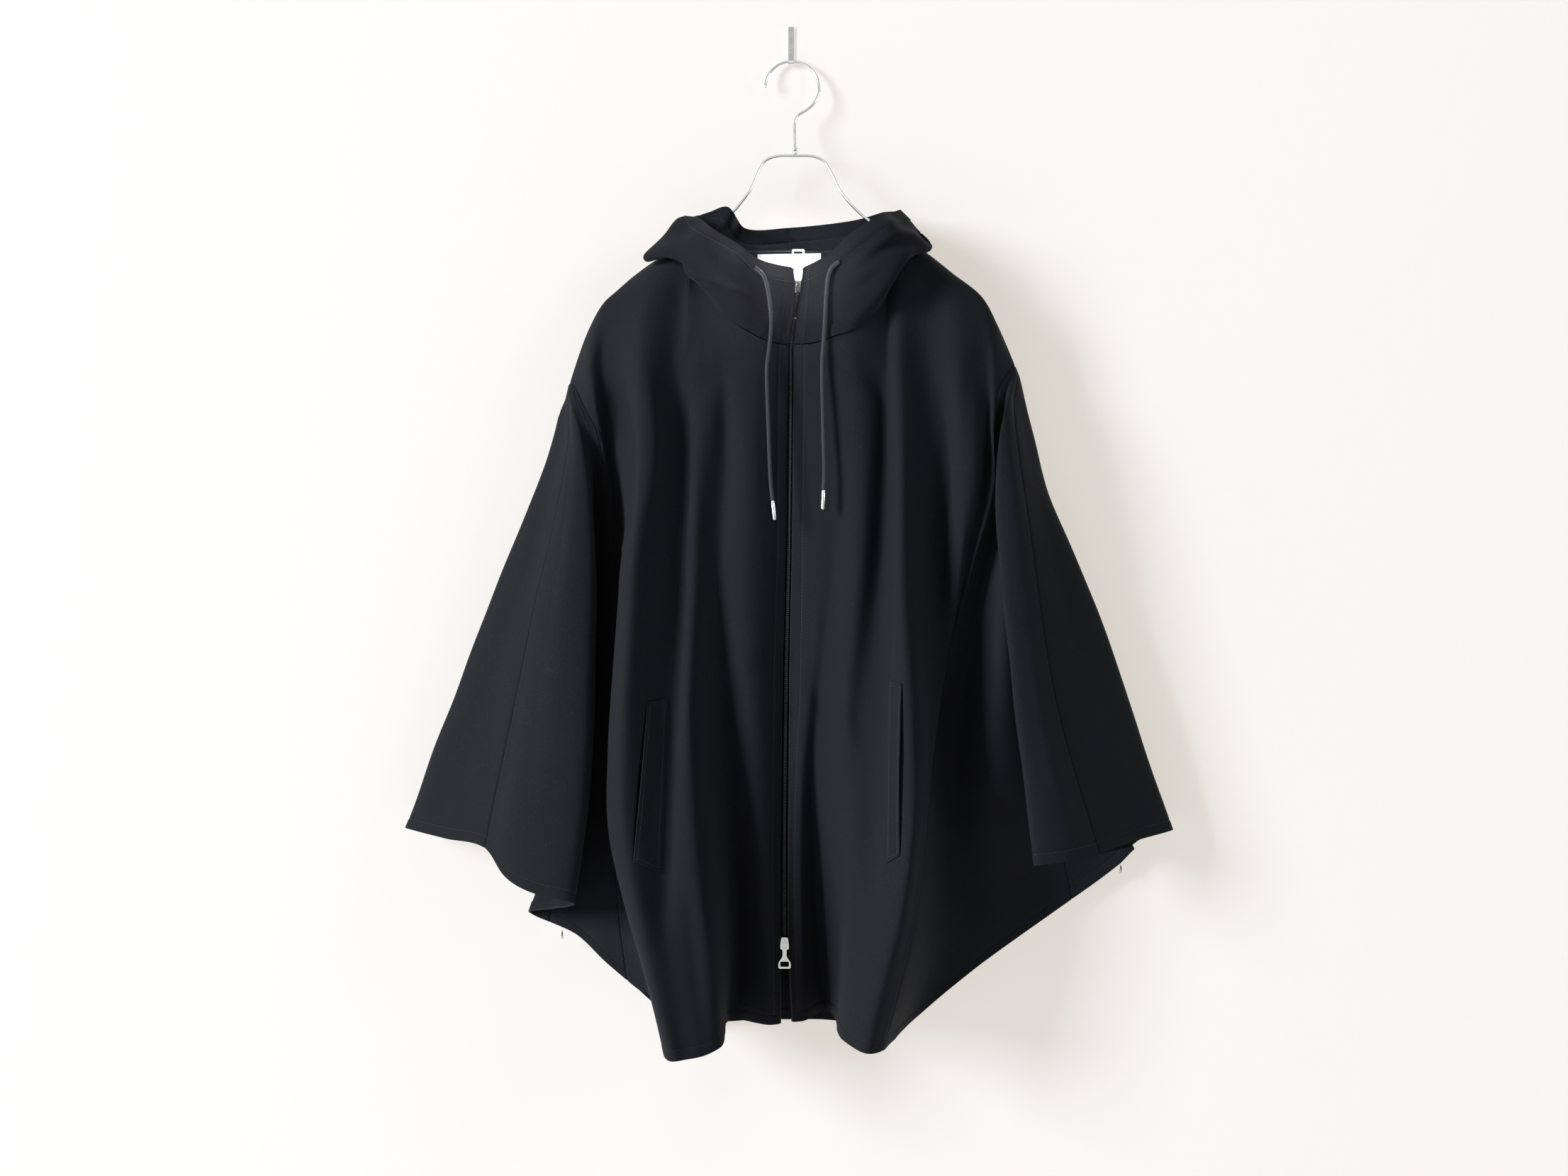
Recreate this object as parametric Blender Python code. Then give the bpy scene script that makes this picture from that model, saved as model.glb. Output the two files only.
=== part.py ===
"""Hooded zip poncho with wing sleeves, hung on a wire hanger from a small wall hook.

The cloth is drawn as guide lines that run from the neck, the shoulder or the
top of the armhole down to the hem, one for each ridge, valley, seam or fold.
A smooth surface is laid across neighbouring guides, cut into panels at the
seams, and given its thickness. Sizes are millimetres until an object is made.

Front view: "across" is to the right of the wall hook, "drop" is below it, and
"forward" is out from the wall. Things that stand further out look larger, so
place() moves each drawn point along its line of sight to where it really is.
"""

import math

import bmesh
import bpy
import numpy as np
from mathutils import Vector
from mathutils.bvhtree import BVHTree

MM = 0.001

# The eye that the front view is drawn from, and how far out its sizes are true.
EYE_BACK = 2300.0
EYE_ACROSS = -8.0
EYE_DROP = 584.0
DRAWN_AT = 40.0

CLOTH = 1.8  # double-knit wall
SEAM_GAP = 0.4  # between two pieces sewn together, and under what lies on a panel
SHOULDER_GAP = 1.3  # the back's shoulder edge from the front's
SQUARE_WITHIN = 229.0  # out to here the two shoulder edges are cut square to each other
ROWS = 15  # rows of faces from the top of a guide to the hem
HOOD_ROWS = 12
NEAR_ROWS = 5  # the hood's first rows, which lie over the body
NECK_CLEAR = 2.9  # and stay this far from its middle
NECK_LAP = 2.5  # the hood's neck edge lies this far outside the body's
LAPPED = (
    "face", "upper valley", "neck fold", "neck front", "back quarter", "back centre",
)
BETWEEN = 2  # columns of faces between two guides
FAN_RADIUS = 3.2  # half circle at the top of the armhole where the sleeve's guides start
FAN_EDGE_OUT = 0.6  # its two ends are drawn in to this, where the shoulder edges meet
FAN_LEAN = (0.45, 0.89)  # it leans along the shoulder's slope: across and down
MOST_THINNING = 0.6  # how far a sharp fold may thin the wall before it is made up

WIRE = 2.8  # hanger arms
HOOK_WIRE = 3.0
HANGER_LEAN = 0.2565  # forward for each millimetre of drop
HOOK_SEAT = 5.1  # hook wire forward of the wall
HANGER_BEFORE_SEAM = 1.0  # arms forward of the shoulder seam
ARM_SINK = 3.0  # the arms lie this much lower where they come out at the neck
ARM_BELOW = CLOTH / 2 + SEAM_GAP + WIRE / 2 + 1.0  # and this far under the shoulder line all along
CORD = 4.2
AGLET = 4.6
AGLET_LENGTH = 20.0
CORD_POINTS = 28
STRIP = 6.0  # wall hook's width
STRIP_THICK = 1.6
CHAIN_WIDE = 3.8
CHAIN_THICK = 2.2
TAPE_THICK = 0.8
TAPE_WIDE = 9.0  # under the front
TAPE_SHOWS = 2.8  # past its edge
TAB_THICK = 1.4

BLACK_CLOTH = ((0.012, 0.012, 0.015), 0.85, 0.0)
BLACK_TAPE = ((0.015, 0.015, 0.017), 0.8, 0.0)
BLACK_CORD = ((0.03, 0.03, 0.033), 0.8, 0.0)
CHROME = ((0.75, 0.75, 0.76), 0.15, 1.0)
NICKEL = ((0.66, 0.65, 0.62), 0.25, 1.0)
SATIN = ((0.85, 0.86, 0.86), 0.5, 0.0)

# Each row is one guide line: its name, then (across, drop, forward) from top to hem.
RIGHT_FRONT = (
    ("edge", (2, 327, 92), (2, 397, 84), (1, 532, 76), (-1, 682, 68), (-2, 822, 64), (-2, 953, 62), (2, 1043, 62)),
    ("near ridge", (25, 325, 97), (31, 397, 91), (32, 532, 85), (22, 659, 77), (11, 772, 71), (9, 899, 67),
     (12, 1042, 65)),
    ("inner valley", (43, 319, 101), (48, 397, 95), (48, 532, 88), (34, 659, 77), (23, 779, 62), (26, 866, 50),
     (29, 967, 36), (37, 1030, 28)),
    ("face", (62, 311, 104), (68, 382, 101), (67, 487, 99), (61, 607, 95), (53, 723, 89), (53, 866, 78),
     (52, 967, 68), (47, 1040, 64)),
    ("upper valley", (92, 284, 94), (95, 337, 92), (95, 428, 91), (91, 562, 95), (79, 723, 101), (74, 866, 108),
     (63, 967, 120), (53, 1060, 128)),
    ("crest", (109, 210, 50), (110, 213, 63), (113, 230, 80), (114, 299, 98), (115, 428, 113), (116, 562, 128),
     (126, 724, 145), (128, 824, 152), (114, 929, 156), (93, 1012, 156), (78, 1076, 155)),
    ("shoulder valley", (138, 227, 54), (139, 230, 65), (141, 247, 79), (145, 314, 88), (147, 428, 86),
     (151, 562, 82), (150, 659, 90), (144, 757, 110), (138, 847, 125), (126, 937, 137), (109, 1012, 142),
     (90, 1075, 146)),
    ("side ridge", (169, 251, 58), (171, 254, 69), (174, 269, 83), (178, 352, 96), (180, 457, 99), (180, 532, 95),
     (172, 607, 86), (161, 674, 78), (150, 757, 92), (141, 847, 113), (130, 937, 128), (110, 1019, 137),
     (93, 1074, 143)),
    ("arm valley", (202, 279, 64), (204, 281, 72), (206, 296, 79), (207, 352, 82), (207, 412, 81), (206, 479, 82),
     (187, 551, 82), (168, 633, 77), (153, 697, 68), (145, 772, 82), (138, 854, 108), (128, 936, 125),
     (108, 1020, 134), (95, 1073, 141)),
)
LEFT_FRONT = (
    ("edge", (-3, 327, 92), (-4, 397, 84), (-6, 532, 76), (-10, 682, 68), (-12.5, 822, 64), (-12.7, 953, 62),
     (-12.7, 1045, 62)),
    ("near ridge", (-23, 324, 99), (-35, 382, 97), (-44, 487, 97), (-46, 607, 94), (-41, 723, 88), (-32, 866, 78),
     (-26, 974, 72), (-24, 1046, 67)),
    ("inner valley", (-46, 313, 103), (-65, 382, 96), (-78, 472, 91), (-81, 592, 86), (-78, 723, 75),
     (-65, 866, 58), (-58, 974, 46), (-64, 1040, 40)),
    ("face", (-72, 294, 98), (-89, 367, 96), (-100, 457, 100), (-103, 584, 107), (-107, 724, 122), (-98, 866, 135),
     (-85, 974, 141), (-76, 1070, 140)),
    ("neck fold", (-94, 260, 84), (-106, 292, 92), (-112, 367, 94), (-116, 457, 97), (-121, 584, 106),
     (-126, 724, 124), (-121, 866, 139), (-108, 971, 147), (-93, 1079, 152)),
    ("upper valley", (-106, 215, 50), (-108, 218, 62), (-112, 233, 78), (-121, 284, 86), (-129, 367, 90),
     (-132, 457, 93), (-137, 584, 104), (-146, 724, 124), (-145, 866, 140), (-131, 967, 151), (-112, 1083, 158)),
    ("crest", (-142, 237, 53), (-143, 240, 65), (-147, 255, 81), (-154, 292, 94), (-159, 367, 106),
     (-162, 457, 116), (-169, 584, 130), (-178, 724, 143), (-177, 847, 151), (-156, 959, 158), (-126, 1085, 163)),
    ("flute edge", (-168, 256, 56), (-168, 259, 66), (-170, 272, 79), (-173, 307, 89), (-175, 382, 96),
     (-177, 472, 103), (-180, 562, 109), (-189, 674, 116), (-193, 762, 121), (-192, 847, 127), (-174, 929, 134),
     (-156, 989, 140), (-134, 1079, 144)),
    ("flute flank", (-184, 270, 60), (-185, 272, 68), (-187, 284, 77), (-189, 322, 81), (-188, 382, 80),
     (-184, 472, 78), (-179, 562, 76), (-181, 674, 75), (-183, 762, 77), (-179, 847, 84), (-161, 929, 94),
     (-145, 989, 100), (-131, 1068, 104)),
    ("arm valley", (-199, 284, 64), (-200, 287, 71), (-201, 301, 76), (-200, 337, 77), (-197, 397, 77),
     (-186, 472, 68), (-181, 562, 60), (-182, 674, 54), (-182, 762, 52), (-180, 847, 50), (-168, 929, 48),
     (-148, 1016, 46)),
    ("shoulder ridge", (-216, 316, 57), (-215, 320, 66), (-214, 333, 77), (-210, 367, 84), (-202, 419, 83),
     (-190, 479, 69), (-185, 562, 54), (-185, 674, 46), (-185, 762, 43), (-184, 847, 41), (-176, 929, 40),
     (-161, 1009, 40)),
)
# These start at the top of the armhole, where fanned() sets them close together.
RIGHT_FAN_TOP = (236, 350, 53)
RIGHT_SLEEVE = (
    ("side seam", (230, 354, 64), (219, 374, 82), (214, 419, 88), (215, 476, 86), (195, 553, 84), (174, 638, 75),
     (157, 701, 66), (147, 772, 78), (140, 854, 104), (130, 936, 122), (110, 1021, 131), (96, 1073, 138)),
    ("side valley", (231, 356, 65), (221, 378, 82), (217, 423, 79), (221, 479, 72), (205, 562, 68), (187, 641, 58),
     (171, 712, 52), (164, 787, 50), (166, 862, 46), (160, 952, 42), (130, 1039, 40)),
    ("side face", (232, 357, 65), (223, 382, 81), (222, 425, 73), (228, 483, 61), (226, 566, 54), (222, 644, 46),
     (216, 719, 42), (214, 794, 38), (216, 884, 34), (201, 981, 31)),
    ("side back fold", (233, 358, 65), (227, 384, 80), (230, 427, 70), (239, 487, 54), (256, 569, 42),
     (280, 648, 34), (302, 727, 30), (329, 794, 27), (362, 861, 25)),
    ("sleeve under", (234, 359, 65), (229, 386, 84), (230, 427, 87), (236, 487, 79), (247, 569, 70), (264, 648, 66),
     (280, 727, 64), (301, 794, 62), (321, 866, 60)),
    ("sleeve fold", (235, 360, 65), (228, 387, 90), (220, 427, 101), (217, 487, 107), (222, 569, 114),
     (230, 648, 122), (238, 723, 129), (247, 791, 134), (257, 878, 140)),
    ("sleeve face", (236.5, 360, 64), (231, 388, 87), (229, 429, 99), (234, 487, 106), (240, 569, 114),
     (249, 648, 121), (260, 719, 127), (276, 791, 131), (293, 873, 133)),
    ("overarm seam", (238, 362, 61), (235, 389, 76), (239, 431, 86), (246, 483, 91), (256, 554, 97), (268, 638, 103),
     (282, 712, 106), (301, 785, 107), (325, 865, 105)),
    ("sleeve outer", (240, 362, 57), (242, 393, 64), (248, 434, 70), (260, 491, 72), (278, 562, 74), (300, 641, 75),
     (324, 716, 75), (344, 776, 73), (365, 851, 70)),
    ("outer edge", (241, 363, 50), (249, 399, 49), (257, 430, 48), (272, 487, 47), (300, 554, 45), (334, 638, 43),
     (360, 716, 41), (386, 792, 38), (403, 840, 35)),
    ("sleeve behind", (240, 362, 44), (242, 404, 38), (252, 457, 34), (270, 532, 29), (302, 622, 24),
     (336, 712, 20), (379, 844, 15)),
    ("sleeve back", (235, 362, 40), (231, 412, 33), (235, 479, 27), (250, 562, 22), (272, 644, 18), (302, 742, 15),
     (344, 868, 12)),
    ("back seam", (229, 356, 43), (216, 397, 36), (210, 479, 30), (210, 584, 23), (216, 697, 17), (226, 824, 13),
     (236, 951, 11)),
)
LEFT_FAN_TOP = (-234, 368, 53)
LEFT_SLEEVE = (
    ("side seam", (-229, 371, 63), (-218, 395, 80), (-207, 415, 84), (-198, 464, 71), (-191, 539, 57),
     (-188, 637, 46), (-188, 749, 40), (-187, 862, 38), (-182, 937, 37), (-174, 999, 36)),
    ("side valley", (-230, 373, 64), (-220, 397, 81), (-211, 416, 84), (-203, 466, 67), (-198, 541, 51),
     (-198, 637, 40), (-202, 749, 34), (-204, 862, 33), (-200, 929, 33), (-196, 980, 33)),
    ("side face", (-231, 374, 64), (-222, 398, 82), (-214, 418, 84), (-206, 467, 64), (-204, 544, 46),
     (-211, 641, 34), (-221, 753, 29), (-228, 854, 28), (-232, 914, 28), (-228, 950, 28)),
    ("side back fold", (-232, 375, 65), (-226, 400, 83), (-218, 419, 85), (-210, 469, 67), (-211, 547, 49),
     (-224, 643, 36), (-240, 757, 31), (-257, 854, 29), (-270, 908, 30), (-276, 928, 31)),
    ("sleeve under", (-233, 376, 65), (-228, 401, 84), (-221, 421, 88), (-214, 470, 81), (-212, 547, 71),
     (-214, 641, 62), (-222, 755, 60), (-233, 847, 62), (-245, 903, 66), (-255, 923, 70)),
    ("sleeve fold", (-234, 377, 65), (-230, 402, 85), (-224, 422, 91), (-216, 469, 96), (-210, 544, 101),
     (-210, 638, 110), (-214, 751, 121), (-222, 839, 128), (-229, 892, 131), (-233, 917, 133)),
    ("sleeve face", (-235, 377, 64), (-232, 403, 82), (-229, 423, 90), (-228, 469, 97), (-234, 544, 106),
     (-243, 637, 117), (-252, 749, 127), (-266, 832, 131), (-275, 884, 132), (-278, 905, 132)),
    ("sleeve step", (-236, 378, 62), (-233, 403, 77), (-232, 422, 84), (-236, 467, 91), (-246, 542, 99),
     (-262, 634, 108), (-279, 746, 117), (-296, 824, 121), (-302, 871, 121), (-302, 890, 121)),
    ("overarm seam", (-236.5, 378, 60), (-235, 403, 72), (-235, 422, 78), (-240, 461, 84), (-255, 536, 88),
     (-277, 631, 93), (-299, 734, 98), (-313, 802, 100), (-320, 836, 100), (-324, 859, 100)),
    ("sleeve outer", (-237, 379, 56), (-239, 403, 61), (-241, 421, 64), (-250, 460, 66), (-270, 533, 68),
     (-299, 626, 70), (-326, 719, 71), (-345, 779, 71), (-360, 824, 70), (-366, 849, 69)),
    ("outer edge", (-238, 383, 50), (-244, 398, 50), (-250, 421, 49), (-263, 462, 48), (-293, 538, 46),
     (-326, 619, 44), (-359, 707, 42), (-385, 775, 40), (-402, 823, 37), (-408, 838, 35)),
    ("sleeve behind", (-237, 380, 44), (-239, 403, 40), (-245, 434, 36), (-260, 479, 32), (-286, 554, 27),
     (-316, 629, 23), (-346, 712, 19), (-388, 842, 15)),
    ("sleeve back", (-232, 379, 41), (-226, 412, 34), (-230, 479, 28), (-241, 554, 23), (-258, 629, 19),
     (-279, 712, 16), (-309, 802, 14), (-320, 859, 12)),
    ("back seam", (-226, 374, 43), (-210, 412, 36), (-206, 479, 30), (-208, 584, 23), (-214, 697, 17),
     (-221, 809, 13), (-228, 946, 11)),
)
RIGHT_BACK = (
    ("back outer fold", (202, 279, 63), (200, 283, 54), (193, 307, 45), (184, 412, 36), (174, 532, 30),
     (171, 674, 24), (175, 824, 18), (176, 991, 14)),
    ("back fold", (154, 239, 55), (152, 243, 47), (146, 277, 42), (136, 382, 38), (127, 532, 30), (122, 674, 20),
     (118, 824, 12), (114, 1039, 9)),
    ("back neck side", (109, 210, 49), (108, 214, 42), (100, 262, 40), (91, 367, 39), (82, 532, 34), (74, 674, 28),
     (66, 824, 24), (60, 1042, 22)),
    ("back quarter", (55, 227, 49), (54, 243, 44), (50, 292, 40), (46, 382, 38), (42, 532, 27), (38, 674, 18),
     (36, 824, 11), (32, 1040, 8)),
)
BACK_CENTRE = (
    ("back centre", (0, 228, 49), (0, 243, 44), (0, 292, 40), (0, 382, 38), (-1, 532, 30), (-2, 674, 22),
     (-4, 824, 17), (-4, 1040, 15)),
)
LEFT_BACK = (
    ("back outer fold", (-199, 284, 63), (-198, 288, 53), (-191, 314, 43), (-184, 412, 36), (-174, 532, 30),
     (-172, 674, 24), (-174, 824, 18), (-178, 994, 14)),
    ("back fold", (-154, 245, 54), (-152, 249, 46), (-146, 281, 41), (-136, 382, 38), (-126, 532, 30),
     (-122, 674, 20), (-119, 824, 12), (-116, 1042, 9)),
    ("back neck side", (-106, 215, 49), (-105, 218, 42), (-99, 262, 40), (-90, 367, 39), (-82, 532, 34),
     (-76, 674, 28), (-68, 824, 24), (-62, 1042, 22)),
    ("back quarter", (-54, 227, 49), (-53, 243, 44), (-50, 292, 40), (-46, 382, 38), (-42, 532, 27), (-40, 674, 18),
     (-38, 824, 11), (-36, 1040, 8)),
)
# The hood's guides run from the neck seam to the rim of the face opening.
RIGHT_HOOD = (
    ("edge", (2, 326, 92), (6, 292, 97), (11, 259, 99), (13, 245, 98)),
    ("near ridge", (25, 323.7, 97.2), (25, 292, 101), (25, 262, 103), (26, 239, 100)),
    ("inner valley", (43, 317.6, 101.2), (46, 286, 106), (44, 256, 109), (42, 229, 104)),
    ("face", (63, 308, 106), (74, 280, 116), (74, 247, 122), (68, 223, 118), (63, 209, 111)),
    ("upper valley", (95, 281, 98), (104, 266, 116), (114, 241, 124), (109, 218, 112), (103, 203, 116),
     (92, 191, 104)),
    ("neck front", (101, 248, 76), (113, 235, 95), (130, 232, 102), (131, 220, 92), (121, 207, 88), (116, 200, 86),
     (104, 188, 79)),
    ("neck side", (109.5, 206, 52), (124, 211, 63), (143, 227, 76), (148, 222, 68), (136, 212, 60), (128, 200, 58),
     (114, 185, 52)),
    ("over shoulder", (110.5, 207.3, 50), (120, 209, 52), (132, 217, 56), (138, 218, 58), (134, 208, 54),
     (124, 197, 47), (106, 187, 38)),
    ("behind shoulder", (110.5, 207, 48.5), (121, 214, 42), (129, 226, 35), (133, 240, 31), (131, 246, 24),
     (126, 232, 20), (119, 208, 22), (99, 187, 22)),
    ("back neck side", (110, 206.5, 46), (117, 217, 34), (122, 277, 22), (116, 314, 14), (114, 277, 6), (109, 221, 6),
     (92, 188, 12)),
    ("back quarter", (55, 223, 48), (56, 238, 35), (60, 299, 28), (60, 352, 18), (61, 299, 6), (64, 236, 5),
     (67, 195, 7)),
)
HOOD_CENTRE = (
    ("back centre", (0, 225, 48), (0, 242, 36), (0, 314, 28), (0, 376, 17), (0, 314, 5), (0, 239, 4), (-3, 203, 6)),
)
LEFT_HOOD = (
    ("edge", (-3, 326, 92), (1, 292, 97), (3, 259, 99), (0, 245, 98)),
    ("near ridge", (-22.5, 322.8, 99.2), (-20, 292, 102), (-18, 266, 103), (-17, 242, 99)),
    ("inner valley", (-45.7, 311.8, 103.2), (-46, 292, 112), (-40, 262, 113), (-36, 236, 106)),
    ("face", (-74, 290, 100), (-78, 273, 114), (-65, 251, 124), (-58, 233, 120), (-60, 219, 111)),
    ("neck fold", (-96, 256, 86), (-106, 251, 104), (-107, 232, 116), (-95, 213, 112), (-82, 206, 102)),
    ("neck front", (-101, 238, 68), (-115, 229, 87), (-131, 234, 97), (-128, 222, 92), (-112, 209, 86),
     (-100, 198, 84), (-92, 198, 86)),
    ("neck side", (-107.5, 211.3, 52), (-125, 217, 63), (-152, 238, 76), (-156, 233, 70), (-138, 217, 66),
     (-119, 193, 60), (-100, 193, 70)),
    ("over shoulder", (-107.5, 212.3, 50), (-119, 215, 52), (-133, 223, 56), (-142, 227, 59), (-139, 218, 57),
     (-125, 203, 52), (-100, 191, 46)),
    ("behind shoulder", (-107.5, 212, 48.5), (-121, 219, 42), (-131, 232, 35), (-137, 246, 31), (-134, 251, 24),
     (-126, 236, 20), (-116, 208, 26), (-86, 186, 32)),
    ("back neck side", (-107, 211.5, 46), (-118, 218, 34), (-125, 277, 22), (-120, 314, 14), (-116, 277, 6),
     (-98, 221, 7), (-67, 181, 20)),
    ("back quarter", (-54, 223, 48), (-54, 238, 35), (-58, 299, 28), (-58, 352, 18), (-58, 299, 6), (-54, 236, 5),
     (-50, 203, 8)),
)

# The hanger's wires in the front view: (across, drop). The hook starts at its tip.
HOOK_CENTRE = (0.6, 54.2)
HOOK_ACROSS = 28.3
HOOK_TALL = 27.3
HOOK_TOP_DROP = HOOK_CENTRE[1] - HOOK_TALL
HOOK_NECK = ((28.8, 60.9), (23.5, 71.4), (15.3, 78.9), (7.8, 83.4), (3.9, 90.2), (3.3, 100.7), (3.6, 116.0))
FERRULE_TOP = 118.6
FERRULE_ACROSS = 3.65
FERRULE_WIDE = 5.0
ARM_NECK_DROP = 126.8
RIGHT_ARM = ((3.7, 126.8), (19, 126.8), (28.8, 129.2), (34.8, 132.9), (39.3, 139.7), (44.5, 149.4), (49.8, 160.7),
             (56.5, 170.4), (64.8, 180.2), (74.5, 189.4), (86, 198.6))
LEFT_ARM = ((-11.8, 126.8), (-21.5, 128.8), (-28.3, 132.5), (-32.8, 138.9), (-38, 150.2), (-43.7, 162.9),
            (-50.8, 172.7), (-61.3, 185.4), (-82, 202.4))
RIGHT_TIP = ((199.5, 284), (200.5, 289.5), (196.5, 295), (189, 297), (180, 297))
LEFT_TIP = ((-196.5, 288.5), (-197.5, 294), (-193.5, 299.5), (-186, 301.5), (-177, 301.5))

# Wall hook's side view: (forward, up).
HOOK_PLATE_TOP = 19.8
HOOK_BEND_CENTRE = (5.1, -17.0)
HOOK_LIP_TOP = -16.0
HOOK_MIDDLE = -0.4

# Zip: the teeth run between the two sliders.
TOP_SLIDER_DROP = 253.5
BOTTOM_SLIDER_DROP = 959.5
SLIDER_LONG = 12.5
SLIDER_WIDE = 9.0
SLIDER_NARROW = 6.6
SLIDER_THICK = 4.0
BAIL_LONG = 6.8
BAIL_HIGH = 3.3
BAIL_WALL = 1.1
BAIL_WIDE = 1.5
BAIL_ROOTED = 0.4
TAB_LONG = 26.0
TAB_WIDE = 13.0
TAB_EYE_WIDE = 5.8
TAB_EYE_LONG = 5.8
TAB_BAR = 1.4  # the bar at the end of the eye, which the tab turns on
TAB_NECK = 4.2
TAB_RIM = 1.95
SIDE_SLIDER_SIZE = 0.7
SIDE_TAB_SIZE = 0.72

# Pocket welts and the neck label in the front view: corners as (across, drop).
LEFT_WELT = ((-153, 705), (-168, 873), (-132, 701), (-139, 885))
RIGHT_WELT = ((117, 685), (115, 867), (104, 683), (101.5, 875))
WELT_THICK = 1.5
WELT_LIFT = 0.7  # over the panel
LABEL = ((-36, 231), (-36, 272), (31, 230), (31, 271))
LABEL_THICK = 0.5
LABEL_LIFT = 0.5

# Drawcords: (across, drop, forward) from the eyelet to the top of the metal end.
LEFT_CORD = ((-38.8, 244.6, 113.5), (-30.5, 252, 113.5), (-26, 264, 112), (-23, 282, 109.5), (-21.5, 300, 107.5),
             (-22.3, 318, 106), (-24.5, 337, 105), (-26, 351, 104.5), (-24.5, 410, 104), (-22, 472, 103.5),
             (-20, 491.2, 103.5))
RIGHT_CORD = ((50.5, 238.6, 114.5), (43.4, 244, 113.5), (39.3, 253, 112.5), (37, 273, 110), (35.5, 300, 107.5),
              (34, 323, 105.5), (32.5, 346, 104.5), (33.5, 410, 104), (34.8, 462, 103.5), (34, 480, 103.5))

# Side zips: (across, drop) up the strip that joins the front layer to the back layer.
LEFT_SIDE_ZIP = ((-239.5, 929), (-241, 899), (-237.5, 854), (-230, 753), (-218, 641), (-207, 560))
RIGHT_SIDE_ZIP = ((343.5, 860), (336, 841), (315, 790), (291, 724), (270, 650), (249, 580))
SIDE_ZIP_THICK = 1.2
SIDE_ZIP_CLEAR = 1.85  # from the middle of each layer to the strip
SIDE_ZIP_BELOW = 4.0  # past the last of its points


def place(across, drop, forward):
    """The true position of a point of the front view that stands this far out from the wall."""
    reach = (EYE_BACK - forward) / (EYE_BACK - DRAWN_AT)
    x = EYE_ACROSS + (across - EYE_ACROSS) * reach
    z = -(EYE_DROP + (drop - EYE_DROP) * reach)
    return np.array((x, -forward, z))


def unit(vector):
    """The vector, or each vector of an array, one long."""
    length = np.linalg.norm(vector, axis=-1, keepdims=True)
    return vector / np.maximum(length, 1e-9)


def smooth(points, steps):
    """A curve through the points, with this many samples from each one to the next."""
    points = np.array(points, float)
    ends = np.vstack([2 * points[0] - points[1], points, 2 * points[-1] - points[-2]])
    t = (np.arange(steps) / steps)[:, None]
    parts = []
    for before, start, end, after in zip(ends, ends[1:], ends[2:], ends[3:]):
        lead = max(np.linalg.norm(start - before), 1e-6) ** 0.5
        span = max(np.linalg.norm(end - start), 1e-6) ** 0.5
        tail = max(np.linalg.norm(after - end), 1e-6) ** 0.5
        step = end - start
        leaving = step + span * ((start - before) / lead - (end - before) / (lead + span))
        arriving = step + span * ((after - end) / tail - (after - start) / (span + tail))
        parts.append(start + t * leaving + t**2 * (3 * step - 2 * leaving - arriving)
                     + t**3 * (leaving + arriving - 2 * step))
    parts.append(points[-1:])
    return np.vstack(parts)


def along(line, fractions):
    """Points at these fractions of the line's length."""
    walked = np.concatenate([[0], np.cumsum(np.linalg.norm(np.diff(line, axis=0), axis=1))])
    at = np.array(fractions) * walked[-1]
    return np.stack([np.interp(at, walked, line[:, axis]) for axis in range(3)], axis=1)


def guides(table, fractions):
    """The names of the guide lines and their points, one row of points for each line."""
    lines = [along(smooth([place(*point) for point in row[1:]], 12), fractions) for row in table]
    return [row[0] for row in table], lines


def fanned(table, top, side):
    """Sleeve guides with their tops set round the end of the shoulder line, from front to back."""
    across, drop, forward = top
    rows = []
    lean_across, lean_down = FAN_LEAN
    for number, row in enumerate(table):
        turn = math.pi * number / (len(table) - 1)
        reach = FAN_RADIUS * math.sin(turn)
        out = FAN_RADIUS * math.cos(turn)
        if number in (0, len(table) - 1):
            out = math.copysign(FAN_EDGE_OUT, out)
        start = (across + side * reach * lean_across, drop + reach * lean_down, forward + out)
        rows.append((row[0], start, *row[1:]))
    return rows


def surface(lines, between):
    """A grid of points, rows down and columns across, through the guide lines."""
    lines = np.array(lines)
    return np.stack([smooth(lines[:, row], between) for row in range(lines.shape[1])])


def offsets(grid):
    """For each grid point, the way out of the surface, longer where it folds so that a wall keeps its thickness."""
    down = grid[1:, :-1] - grid[:-1, 1:]
    over = grid[1:, 1:] - grid[:-1, :-1]
    faces = unit(np.cross(down, over))
    total = np.zeros_like(grid)
    count = np.zeros(grid.shape[:2] + (1,))
    for rows in (slice(0, -1), slice(1, None)):
        for columns in (slice(0, -1), slice(1, None)):
            total[rows, columns] += faces
            count[rows, columns] += 1
    length = np.linalg.norm(total, axis=-1, keepdims=True)
    return total / np.maximum(length, 1e-9) / np.maximum(length / count, MOST_THINNING)


def join_shoulder(grid, ways, front_first, front_last, back_first, back_last):
    """Sets the back's shoulder edge along the front's, and squares both edges so that they face each other."""
    front = slice(front_first, front_last + 1)
    back = slice(back_first, back_last + 1)
    line = grid[0, front]
    line = line[np.argsort(line[:, 0])]
    for axis, shift in ((1, SHOULDER_GAP), (2, 0.0)):
        grid[0, back, axis] = np.interp(grid[0, back, 0], line[:, 0], line[:, axis]) + shift
    for part in (front, back):
        square = unit(np.cross(np.gradient(grid[0, part], axis=0), (0.0, 1.0, 0.0)))
        square *= np.sign(square[:, 2:])
        steep = np.abs(grid[0, part, 0]) > SQUARE_WITHIN
        ways[0, part] = np.where(steep[:, None], ways[0, part], square)


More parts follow.
